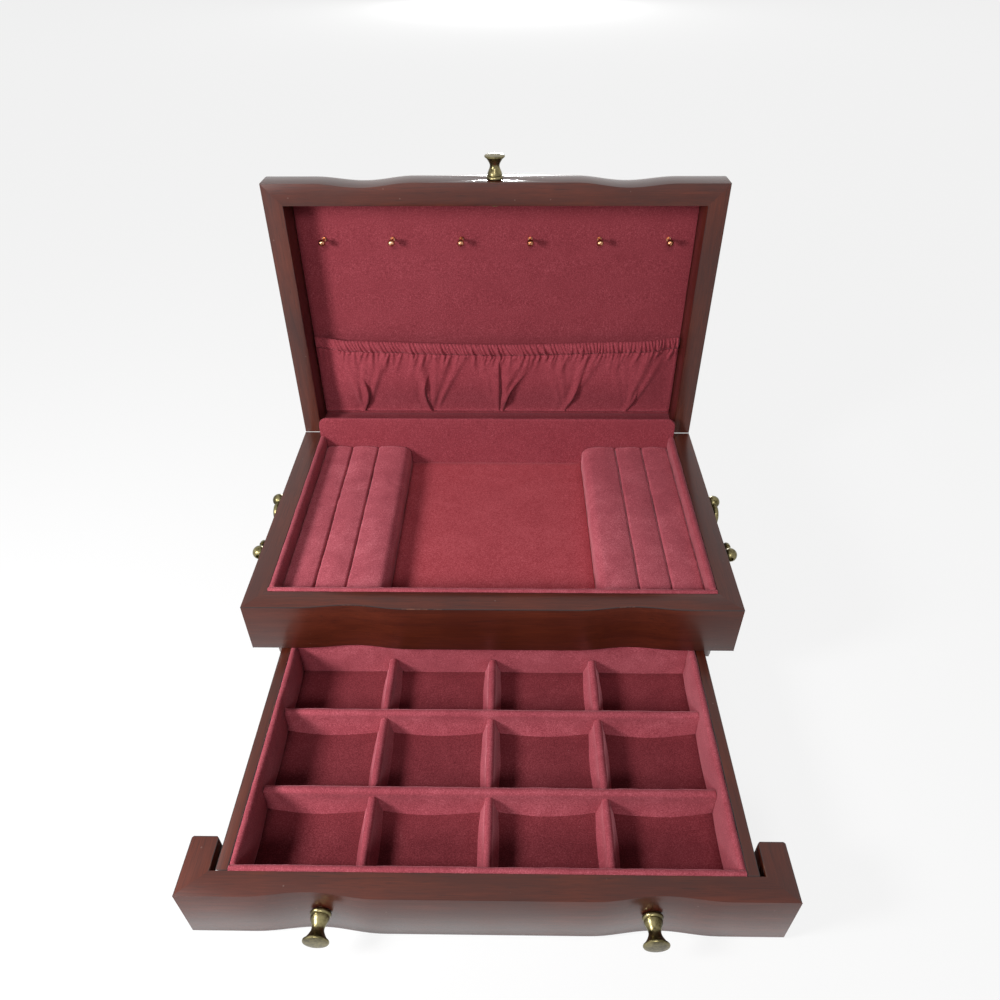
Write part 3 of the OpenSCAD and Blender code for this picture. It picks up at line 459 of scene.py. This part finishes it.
def upright_box(node):
    """Box of a piece of the lid as if the lid stood upright."""
    piece = frame["nodes"][node]
    turn = lean(-LEAN) @ piece.matrix_world
    points = np.array([turn @ vertex.co for vertex in piece.data.vertices])
    return Vector(points.min(axis=0)), Vector(points.max(axis=0))


def ruffle(piece, size, depth, seed):
    """Moves each point along its normal by a smooth noise of that size and depth."""
    shift = Vector((seed * 3.1, seed * 1.7, seed * 2.3))
    moves = [v.normal * depth * noise.noise(v.co / size + shift) for v in piece.data.vertices]
    for vertex, move in zip(piece.data.vertices, moves):
        vertex.co += move


def skin(name, rings):
    """A closed skin over rings of points, with a flat cap on each end."""
    rings = np.asarray(rings, float)
    count, around = rings.shape[:2]
    faces = []
    for start in range(0, (count - 1) * around, around):
        after = start + around
        for i in range(around):
            beside = (i + 1) % around
            faces.append([start + i, start + beside, after + beside, after + i])
    faces += [list(range(around)), list(range((count - 1) * around, count * around))]
    mesh = bpy.data.meshes.new(name)
    mesh.from_pydata(rings.reshape(-1, 3).tolist(), [], faces)
    piece = link(name, mesh)
    edit((bpy.ops.mesh.normals_make_consistent, {"inside": False}))
    return piece


def cover(piece, node, cloth):
    """Finishes a padded piece with its velvet."""
    piece.name = node + "_cloth"
    smooth(piece, 60)
    dress(piece, node, "velvet", cloth)


def stations(start, end, rounding):
    """Places along a bar, with how far its section draws in where each end is rounded."""
    turn = [rounding * (1 - math.cos(angle)) for angle in END_ANGLES]
    drawn = [rounding * (1 - math.sin(angle)) for angle in END_ANGLES]
    straight = end - start - 2 * rounding
    steps = max(2, round(straight / CELL))
    middle = [start + rounding + straight * i / steps for i in range(steps + 1)]
    return (
        [(start + t, d) for t, d in zip(turn, drawn)]
        + [(place, 0.0) for place in middle]
        + [(end - t, d) for t, d in zip(turn[::-1], drawn[::-1])]
    )


def between(place, pinches):
    """0 at a pinch and where there is none, 1 halfway from one pinch to the next."""
    for start, end in zip(pinches, pinches[1:]):
        if start <= place <= end:
            return math.sin(math.pi * (place - start) / (end - start))
    return 0.0


# Liners

LINER_END = 0.6 * MM
BACK_CORNER = 6 * MM
SIDE_BULGE, END_BULGE = 1.4 * MM, 0.8 * MM
# Pitch of the short dividers, as in the part's source
CROSS_PITCH = 61.5 * MM
CROSS_XS = (-CROSS_PITCH, 0.0, CROSS_PITCH)


def middle_y(node):
    """Middle of a CAD node from front to back."""
    low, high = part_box(node)
    return (low.y + high.y) / 2


def well_middle(node):
    """Middle of the tray or of the drawer, whichever the liner belongs to."""
    low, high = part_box("tray_floor_pad" if node.startswith("tray") else "drawer_floor_pad")
    return (low + high) / 2


def upright_section(thick, low, high, drawn):
    """Outline of a liner: a flat foot, straight walls and a round top. Across, then up."""
    half = thick / 2
    # Towards an end the liner thins less than it drops
    radius = max(half - drawn * 0.4, half * 0.35)
    top = high - drawn
    arc = [(radius * math.cos(a), top - half + half * math.sin(a)) for a in np.linspace(0, math.pi, 13)]
    rise = np.linspace(low, top - half, 8)
    return [(-radius, z) for z in rise[::-1][1:]] + [(radius, z) for z in rise[:-1]] + arc


def corner_drop(corner, inset):
    """How far a rounded top corner lies below the top, at a distance from the liner's end."""
    left = max(corner - inset, 0)
    return corner - math.sqrt(max(corner ** 2 - left ** 2, 0))


def liner(node, along, cloth, corner=0.0, pinches=(), bulge=0.0):
    """A padded liner that stands on edge along one axis. Its inner face bulges between the pinches."""
    low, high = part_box(node)
    across = 1 - along
    middle = (low[across] + high[across]) / 2
    thick = high[across] - low[across]
    inward = -1 if middle > well_middle(node)[across] else 1
    rings = []
    for place, drawn in stations(low[along], high[along], LINER_END):
        inset = min(place - low[along], high[along] - place)
        top = high.z - corner_drop(corner, inset)
        swell = bulge * between(place, pinches)
        ring = []
        for offset, z in upright_section(thick, low.z, top, drawn):
            height = min(max((z - low.z) / (high.z - low.z), 0), 1)
            share = math.sin(math.pi * height) ** 0.6
            point = [0, 0, z]
            point[along] = place
            point[across] = middle + offset + (inward * swell * share if offset * inward > 0 else 0.0)
            ring.append(point)
        rings.append(ring)
    piece = skin(node + "_cloth", rings)
    ruffle(piece, size=14 * MM, depth=0.2 * MM, seed=len(node))
    cover(piece, node, cloth)


DIVIDER_YS = [middle_y("drawer_divider_" + row) for row in ("front", "rear")]
well_low, well_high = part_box("drawer_floor_pad")
side_pinches = (well_low.y, *DIVIDER_YS, well_high.y)
end_pinches = (well_low.x, *CROSS_XS, well_high.x)
for node, along in (("tray_liner_front", 0), ("tray_liner_left", 1), ("tray_liner_right", 1)):
    liner(node, along, pad_pile_painted_shade)
# The back liner takes the darker pocket velvet, which is painted shade.
liner("tray_liner_back", 0, pocket_pile_painted_shade, corner=BACK_CORNER)
for side in ("left", "right"):
    liner("drawer_liner_" + side, 1, pad_pile_painted_shade, pinches=side_pinches, bulge=SIDE_BULGE)
for end in ("front", "back"):
    liner("drawer_liner_" + end, 0, pad_pile_painted_shade, pinches=end_pinches, bulge=END_BULGE)

# Floors, linings and felt

FLOOR_PUFF, FLOOR_EDGE = 0.25 * MM, 1.1 * MM
LINING_PUFF, LINING_EDGE = 0.2 * MM, 0.4 * MM
FELT_EDGE = 0.4 * MM
# Size of the swells in a pad's face, and how far from its edge they are full
PUFF_SIZE, PUFF_INSET = 30 * MM, 6 * MM


def close_back(piece, axis, back):
    """Draws the rim of a sheet down to its flat back, and closes that."""
    take(piece)
    edit((bpy.ops.mesh.region_to_loop, {}), (bpy.ops.mesh.extrude_region_move, {}))
    for vertex in piece.data.vertices:
        if vertex.select:
            vertex.co[axis] = back
    bpy.ops.object.mode_set(mode="EDIT")
    bpy.ops.mesh.edge_face_add()
    bpy.ops.mesh.select_all(action="SELECT")
    bpy.ops.mesh.normals_make_consistent(inside=False)
    bpy.ops.object.mode_set(mode="OBJECT")


def pad(node, box, up, puff, edge, slot, cloth, seed):
    """A cloth-covered board: its face swells a little, and its edges turn in."""
    low, high = box
    axis = "xyz".index(up[1])
    sign = 1 if up[0] == "+" else -1
    face, back = (high[axis], low[axis]) if sign > 0 else (low[axis], high[axis])
    thick = abs(face - back)
    across = [i for i in range(3) if i != axis]
    size = [high[i] - low[i] for i in across]
    counts = [max(8, round(length / (2 * CELL))) for length in size]
    bpy.ops.object.select_all(action="DESELECT")
    bpy.ops.mesh.primitive_grid_add(x_subdivisions=counts[0], y_subdivisions=counts[1], size=1)
    piece = bpy.context.object
    piece.name = node + "_cloth"
    for vertex in piece.data.vertices:
        a, b = vertex.co.x, vertex.co.y
        gap = min((0.5 - abs(a)) * size[0], (0.5 - abs(b)) * size[1])
        fall = edge * (1 - math.sqrt(1 - (1 - min(gap / edge, 1)) ** 2))
        spot = Vector((a * size[0], b * size[1], 0)) / PUFF_SIZE
        swell = puff * noise.noise(spot + Vector((seed, 0, 0)))
        point = [0, 0, 0]
        point[across[0]] = low[across[0]] + (a + 0.5) * size[0]
        point[across[1]] = low[across[1]] + (b + 0.5) * size[1]
        point[axis] = face - sign * (min(fall, thick * 0.9) + abs(swell) * min(gap / PUFF_INSET, 1))
        vertex.co = point
    piece.data.update()
    close_back(piece, axis, back)
    smooth(piece, 50)
    dress(piece, node, slot, cloth)
    return piece


for seed, (node, cloth) in enumerate((("tray_floor_pad", tray_pile), ("drawer_floor_pad", cell_pile_painted_shade))):
    piece = pad(node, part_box(node), "+z", FLOOR_PUFF, FLOOR_EDGE, "velvet", cloth, seed)
# The lining and the hinge strip take the darker lid velvet, which is painted shade.
for seed, (node, up) in enumerate((("lid_lining", "-y"), ("lid_hinge_strip", "+z")), start=5):
    piece = pad(node, upright_box(node), up, LINING_PUFF, LINING_EDGE, "velvet", lid_pile_painted_shade, seed)
    piece.data.transform(lean(LEAN))
pad("base_felt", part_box("base_felt"), "-z", 0.0, FELT_EDGE, "felt", felt("felt"), seed=9)

# Ring rolls

ROLL_WIDTHS = (24.6 * MM, 19.6 * MM, 19.6 * MM)
ROLL_SLOT = 0.4 * MM
ROLL_EDGE, ROLL_NOSE, ROLL_CROWN = 1.9 * MM, 6.5 * MM, 0.6 * MM
ROLL_END = 2.0 * MM


def roll_edge(wall, inward, radius, shoulder, angles):
    """Points of a roll's rounded edge, beside one of its walls."""
    points = []
    for angle in angles:
        aside = inward * radius * (1 - math.cos(angle))
        points.append((wall + aside, shoulder - radius * (1 - math.sin(angle))))
    return points


def roll_section(left, right, low, high, left_round, right_round):
    """Outline of one ring roll seen from the front."""
    shoulder = high - ROLL_CROWN
    quarter = np.linspace(0, math.pi / 2, 7)
    points = [(left, z) for z in np.linspace(shoulder - left_round, low, 6)[1:]]
    points += [(right, z) for z in np.linspace(low, shoulder - right_round, 6)[:-1]]
    points += roll_edge(right, -1, right_round, shoulder, quarter)
    start, end = right - right_round, left + left_round
    for t in np.linspace(1, -1, 9)[1:-1]:
        points.append(((start + end) / 2 + t * (start - end) / 2, shoulder + ROLL_CROWN * (1 - t * t)))
    points += roll_edge(left, 1, left_round, shoulder, quarter[::-1])
    return points


def ring_rolls(node, side):
    """Three padded rolls side by side; the one by the tray's middle is wider, with a rounder edge."""
    low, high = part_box(node)
    start = low.x if side > 0 else high.x
    made = []
    for i, width in enumerate(ROLL_WIDTHS):
        end = start + side * (width - ROLL_SLOT)
        left, right = sorted((start, end))
        nose = ROLL_NOSE if i == 0 else ROLL_EDGE
        rounds = (nose, ROLL_EDGE) if side > 0 else (ROLL_EDGE, nose)
        rings = []
        for y, drawn in stations(low.y, high.y, ROLL_END):
            section = roll_section(left, right, low.z, high.z - drawn, *rounds)
            rings.append([(x, y, z) for x, z in section])
        piece = skin(f"{node}_{i + 1}", rings)
        ruffle(piece, size=9 * MM, depth=0.2 * MM, seed=i + 5 * side)
        ruffle(piece, size=28 * MM, depth=0.35 * MM, seed=i + 7 * side)
        made.append(piece)
        start += side * width
    cover(joined(made), node, roll_pile_painted_light)


ring_rolls("ring_rolls_left", -1)
ring_rolls("ring_rolls_right", 1)

# Dividers of the drawer

TOP_HALF = 2.3 * MM
NECK_HALF = 3.2 * MM
LONG_FOOT, CROSS_FOOT = 6 * MM, 5.6 * MM
LONG_END, CROSS_END = 0.8 * MM, 0.6 * MM
# How much a short divider's foot narrows at its ends, and how far these sink into their neighbours
CROSS_PINCH, TUCK = 0.9 * MM, 0.4 * MM
DIVIDER_FOOT, DIVIDER_TOP = [corner.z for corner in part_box("drawer_divider_front")]


def half_width(foot, share):
    """Half the width of a divider at a share of its height, from its flared foot to its round top."""
    return TOP_HALF + (foot - TOP_HALF) * (1 - share) ** 1.6


def padded_outline(foot, low, high):
    """Section of a padded divider. Across, then up."""
    crown = high - TOP_HALF
    wall = [(half_width(foot, t), low + t * (crown - low)) for t in np.linspace(0, 1, 9)]
    quarter = np.linspace(0, math.pi / 2, 6)
    arc = [(TOP_HALF * math.cos(a), crown + TOP_HALF * math.sin(a)) for a in quarter]
    half = wall + arc[1:]
    return half + [(-across, z) for across, z in half[::-1][1:]]


def long_divider(node):
    """A padded divider across the drawer. Its foot is narrow where the short ones meet it."""
    low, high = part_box(node)
    middle = middle_y(node)
    pinches = (low.x, *CROSS_XS, high.x)
    rings = []
    for x, drawn in stations(low.x, high.x, LONG_END):
        foot = NECK_HALF + (LONG_FOOT - NECK_HALF) * between(x, pinches)
        outline = padded_outline(foot - drawn * 0.5, low.z, high.z - drawn)
        rings.append([(x, middle + y, z) for y, z in outline])
    piece = skin(node + "_cloth", rings)
    ruffle(piece, size=13 * MM, depth=0.3 * MM, seed=len(node))
    cover(piece, node, pad_pile_painted_shade)


def end_of_cell(row, z, low, high):
    """Where a short divider's two ends lie at a height: in a long divider's slope, or at a liner."""
    share = min((z - DIVIDER_FOOT) / (DIVIDER_TOP - TOP_HALF - DIVIDER_FOOT), 1)
    slope = half_width(NECK_HALF, share) - TUCK
    front = low.y if row == "front" else DIVIDER_YS[0 if row == "middle" else 1] + slope
    rear = high.y if row == "rear" else DIVIDER_YS[1 if row == "middle" else 0] - slope
    return front, rear


def cross_dividers(row):
    """Three short padded dividers in one row of cells, cut to the slopes of the long ones."""
    node = "cross_dividers_" + row
    low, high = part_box(node)
    length = high.y - low.y
    made = []
    for i, x in enumerate(CROSS_XS):
        rings = []
        for place, drawn in stations(0, length, CROSS_END):
            share = place / length
            foot = CROSS_FOOT - CROSS_PINCH * (1 - math.sin(math.pi * share))
            ring = []
            for across, z in padded_outline(foot, low.z, high.z - drawn):
                front, rear = end_of_cell(row, z, low, high)
                ring.append((x + across, front + share * (rear - front), z))
            rings.append(ring)
        piece = skin(f"{node}_{i + 1}", rings)
        ruffle(piece, size=12 * MM, depth=0.3 * MM, seed=i + len(node))
        made.append(piece)
    cover(joined(made), node, pad_pile_painted_shade)


long_divider("drawer_divider_front")
long_divider("drawer_divider_rear")
for row in ("front", "middle", "rear"):
    cross_dividers(row)

# Pocket

CLOTH = 0.6 * MM
# Spacing of the sheet's points: across it, and up it at its foot, its belly and its hem
COLUMN, FOOT_ROW, ROW, HEM_ROW = 0.47 * MM, 0.4 * MM, 1.25 * MM, 0.5 * MM
# The foot: height of its close rows, where the folds come free, and the roll over its seam
FOOT, FOOT_HOLD, FOOT_SEAM = 2.4 * MM, 1.5 * MM, 0.9 * MM
# The belly: how far it stands off at its fullest and just above the foot, and where it is fullest
SWELL, LIFT, BELLY = 6.6 * MM, 1.6 * MM, 34 * MM
# The sides: width of the sewn edge, and how far in the belly is full
SIDE_SEAM, SIDE_SLACK = 1.2 * MM, 26 * MM
# The hem: height, sag at its middle, roundness of the casing, and height of the wavy top edge
HEM, HEM_SAG, CASING, SCALLOP = 8 * MM, 3 * MM, 1.6 * MM, 2.5 * MM
# The row of stitches under the hem: depth, and half its width, which the foot's seam shares
STITCH, STITCH_HALF = 1.1 * MM, 0.7 * MM
# Least distance from the lining
CLEAR = 0.1 * MM
# Where the gathers start and end, and where they turn steeper
GATHER_START, GATHER_END, GATHER_TURN = -138 * MM, 136 * MM, 50 * MM
# Each pleat in millimetres: place along the foot, lean and bow of its fold, and its height and depth
PLEATS = [
    (-103, 2.0, 4.5, 36, 2.3),
    (-50, 1.0, -5.5, 38, 2.5),
    (1, -0.5, 0.5, 62, 1.5),
    (4, 21.0, -5.0, 40, 1.9),
    (51, 13.0, 1.0, 40, 1.5),
    (98, 8.0, 1.5, 24, 1.3),
]
# Heads of the soft folds beside a pleat, in millimetres from it
FAN = (-14, -4, 7, 18, 30)


def ease(share):
    """A soft step from 0 to 1."""
    share = np.clip(share, 0, 1)
    return share * share * (3 - 2 * share)


def gathers(x, down, dice):
    """Ridges of the gathered hem at x and at a depth below the hem's top edge."""
    height = np.zeros_like(x)
    below = np.maximum(down - HEM, 0)
    place = GATHER_START
    while place < GATHER_END:
        place += max(dice.normal(2.45, 0.5), 1.7) * MM
        slant = dice.uniform(0.35, 0.75) if place < GATHER_TURN else dice.uniform(-0.1, 0.35)
        tall = dice.uniform(0.9, 1.6) * MM
        wide = dice.uniform(0.6, 0.85) * MM
        reach = (2.5 + dice.exponential(5)) * MM if dice.uniform() < 0.6 else dice.uniform(10, 24) * MM
        drift = dice.uniform(0.0, 0.45)
        centre = place + slant * np.minimum(down, HEM) - drift * below
        fade = np.where(down < HEM, 1.0, 0.85 * ease(1 - below / reach))
        spread = wide * (1 + below / (7 * MM))
        height += tall * fade * np.exp(-((x - centre) / spread) ** 2)
    return height


def drapes(x, up, top, dice):
    """Soft folds that fan out from each pleat up to the hem."""
    height = np.zeros_like(x)
    share = np.clip(up / top, 0, 1)
    wide = (1.4 + 2.6 * share) * MM
    rise = ease(share / 0.25)
    fade = ease((1 - share) / 0.35)
    for place, *_, depth in PLEATS:
        for fan in FAN:
            head = (place + fan + dice.uniform(-4, 4)) * MM
            foot = (place + 0.12 * fan + dice.uniform(-2, 2)) * MM
            centre = foot + (head - foot) * share ** 1.3
            strong = dice.uniform(0.35, 1.0) * depth * MM
            height += strong * rise * fade * np.exp(-((x - centre) / wide) ** 2)
    return height


def pleats(x, up):
    """Folds sewn in at the foot: each rises to its right edge and drops behind it. Height, then shift."""
    height = np.zeros_like(x)
    shift = np.zeros_like(x)
    for place, slant, bow, tall, depth in PLEATS:
        share = np.clip(up / (tall * MM), 0, 1)
        fold = (place + slant * share + bow * np.sin(math.pi * share)) * MM
        aside = (x - fold) / MM
        strong = depth * MM * (0.45 + 0.55 * ease(share / 0.35)) * ease((1 - share) / 0.6)
        band = np.exp(-((aside / 1.7) ** 2))
        valley = np.exp(-(((aside + 4.5) / 2.2) ** 2))
        rise = 0.8 * band - 0.3 * valley + 0.2 * np.exp(np.minimum(aside, 0) / 6.0)
        fall = 1 - 1.8 * ease(aside)
        settle = np.exp(-np.maximum(aside - 1.0, 0) / 5.0)
        height += strong * np.where(aside <= 0, rise, np.where(aside < 1.0, fall, -0.8 * settle))
        shift += strong * 0.4 * np.exp(-np.abs(aside) / 1.6)
    return height, shift


def pocket_rows(full):
    """Heights of the sheet's rows, which lie closer at its foot and its hem."""
    belly_top = full - 1.5 * HEM
    return np.concatenate([
        np.linspace(0, FOOT, round(FOOT / FOOT_ROW), endpoint=False),
        np.linspace(FOOT, belly_top, round((belly_top - FOOT) / ROW), endpoint=False),
        np.linspace(belly_top, full, round(1.5 * HEM / HEM_ROW)),
    ])


def pocket_points():
    """Points of the sheet, row by row from its foot, as if the lid stood upright."""
    low, high = upright_box("lid_pocket")
    lining = upright_box("lid_lining")[0].y
    dice = np.random.default_rng(7)
    half = (high.x - low.x) / 2
    full = high.z - low.z
    columns = np.linspace(low.x, high.x, round(2 * half / COLUMN))
    x, up = np.meshgrid(columns, pocket_rows(full))
    tall = full - HEM_SAG * ease(1 - np.abs(x) / half)
    up = up * tall / full
    down = tall - up
    from_side = half - np.abs(x)
    edge = ease(from_side / SIDE_SEAM)
    inset = ease(from_side / SIDE_SLACK)
    belly = inset * (SWELL - LIFT) * ease(up / BELLY)
    lift = LIFT * ease(up / LIFT) * (0.4 + 0.6 * inset)
    round_hem = np.sqrt(np.clip(1 - ((down - HEM / 2) / (HEM / 2)) ** 2, 0, 1)) * (down < HEM)
    casing = CASING * round_hem
    stitch = STITCH * np.exp(-((down - HEM) / STITCH_HALF) ** 2)
    seam = FOOT_SEAM * np.exp(-((up - FOOT_SEAM) / STITCH_HALF) ** 2)
    ridge = gathers(x, down, dice) * (0.35 + 0.65 * np.where(down < HEM, round_hem, 1.0))
    fold, shift = pleats(x, up)
    soft = drapes(x, up, tall, dice)
    loose = ease(up / FOOT_HOLD) * inset
    off = edge * (belly + lift + casing - stitch + ridge + seam) + loose * (soft + fold)
    off = np.maximum(off, CLEAR)
    scallop = 0.6 * ridge * ease(1 - down / SCALLOP) * edge
    return np.stack([x + shift * loose, lining - off - CLOTH / 2, low.z + up + scallop], axis=-1)


def sheet_faces(rows, columns):
    """Four-sided faces between the rows and columns of a sheet's points."""
    faces = []
    for row in range(rows - 1):
        for column in range(columns - 1):
            corner = row * columns + column
            faces.append([corner, corner + 1, corner + columns + 1, corner + columns])
    return faces


def flat_size(points):
    """Size of a sheet when it is laid flat: the mean length of its rows and of its columns."""
    across = np.linalg.norm(np.diff(points, axis=1), axis=2).sum(axis=1).mean()
    along = np.linalg.norm(np.diff(points, axis=0), axis=2).sum(axis=0).mean()
    return float(across), float(along)


def lid_pocket():
    """One gathered sheet of velvet, sewn to the lining at its foot and sides, with an elastic hem."""
    points = pocket_points()
    mesh = bpy.data.meshes.new("lid_pocket_cloth")
    mesh.from_pydata(points.reshape(-1, 3).tolist(), [], sheet_faces(*points.shape[:2]))
    mesh.transform(lean(LEAN))
    piece = link("lid_pocket_cloth", mesh)
    finish_with(piece, "SOLIDIFY", thickness=CLOTH, offset=0.0)
    smooth(piece, 80)
    dress(piece, "lid_pocket", "velvet", pocket_pile_painted_shade)
    flat_size(points)


lid_pocket()

# Brass

FITTINGS = [
    "hinge_left_case_leaf", "hinge_right_case_leaf", "hinge_left_lid_leaf", "hinge_right_lid_leaf",
    "hinge_pins", "hinge_case_screws", "hinge_lid_screws",
    "handle_left_posts", "handle_right_posts", "handle_post_screws", "left_bail", "right_bail",
    "lid_knob_screw", "drawer_knob_screws", "lid_knob", "drawer_left_knob", "drawer_right_knob",
]
antique = brass("antique_brass", (58, 51, 31), (140, 131, 94), 0.22)
rose = brass("rose_brass", (150, 96, 66), (216, 164, 128), 0.18)


def fitting(node, slot, metal):
    """A brass fitting in the shape of its CAD node."""
    piece = copy_of(node, node + "_brass")
    smooth(piece, 30)
    dress(piece, node, slot, metal)


for node in FITTINGS:
    fitting(node, "brass", antique)
fitting("necklace_hooks", "hook_brass", rose)

# Stage, light and camera

# Share of the floor that looks white whatever light falls on it
FLOOR_GLOW = 0.85
# Strength of the even light from all around
WORLD_LIGHT = 0.12
AIM = Vector((0, -0.07, 0.07))


def looked_at(finish):
    """1 for what the camera sees, also in a mirror or through glass, and 0 for light on a piece."""
    seen = finish.node("ShaderNodeLightPath", output="Is Camera Ray")
    mirrored = finish.node("ShaderNodeLightPath", output="Is Glossy Ray")
    through = finish.node("ShaderNodeLightPath", output="Is Transmission Ray")
    return seen + mirrored + through


def floor():
    """A plain pale floor that looks whiter than the lamps alone would make it."""
    bpy.ops.object.select_all(action="DESELECT")
    bpy.ops.mesh.primitive_plane_add(size=12)
    plane = bpy.context.object
    plane.name = "floor"
    pale = {"Base Color": (0.85, 0.85, 0.85, 1), "Roughness": 0.9, "Specular IOR Level": 0.0}
    finish = Finish("pale_floor", pale)
    white = finish.node("ShaderNodeEmission", None, {"Strength": 1.0})
    surface = Socket(finish, finish.shader.outputs[0])
    share = looked_at(finish) * FLOOR_GLOW
    mixed = finish.node("ShaderNodeMixShader", None, {0: share, 1: surface, 2: white})
    finish.feed(finish.tree.nodes["Material Output"].inputs["Surface"], mixed)
    plane.data.materials.append(finish.material)


def area_light(name, place, size, power):
    """A round lamp that faces the chest and is hidden from the camera."""
    data = bpy.data.lights.new(name, "AREA")
    data.shape = "DISK"
    data.size = size
    data.energy = power
    lamp = bpy.data.objects.new(name, data)
    lamp.location = place
    lamp.rotation_euler = (AIM - Vector(place)).to_track_quat("-Z", "Y").to_euler()
    lamp.visible_camera = False
    bpy.context.scene.collection.objects.link(lamp)


def world_light():
    """Even light from all around, from a backdrop that looks white."""
    world = bpy.data.worlds.new("studio")
    world.use_nodes = True
    air = NodeTree(world.node_tree)
    background = world.node_tree.nodes["Background"]
    background.inputs["Color"].default_value = (1, 1, 1, 1)
    air.feed(background.inputs["Strength"], WORLD_LIGHT + looked_at(air) * (1 - WORLD_LIGHT))
    bpy.context.scene.world = world


def camera():
    """The photograph's view, fitted to the chest's own right angles."""
    data = bpy.data.cameras.new("camera")
    data.sensor_width = 36
    data.lens = 27.41
    data.clip_start = 0.01
    view = bpy.data.objects.new("camera", data)
    view.location = (0.0104, -0.3892, 0.4034)
    view.rotation_euler = [math.radians(angle) for angle in (50.85, 0.275, 0.756)]
    bpy.context.scene.collection.objects.link(view)
    bpy.context.scene.camera = view


floor()
area_light("key", place=(-0.47, -0.36, 0.39), size=0.17, power=4.6)
area_light("front", place=(-0.2, -2.2, 1.7), size=0.8, power=30)
# Low, so that it lights the back of the chest and little of the shut lid
area_light("back", place=(0.0, 3.6, 0.1), size=0.16, power=60)
world_light()
camera()
bpy.context.scene.view_settings.view_transform = "Standard"
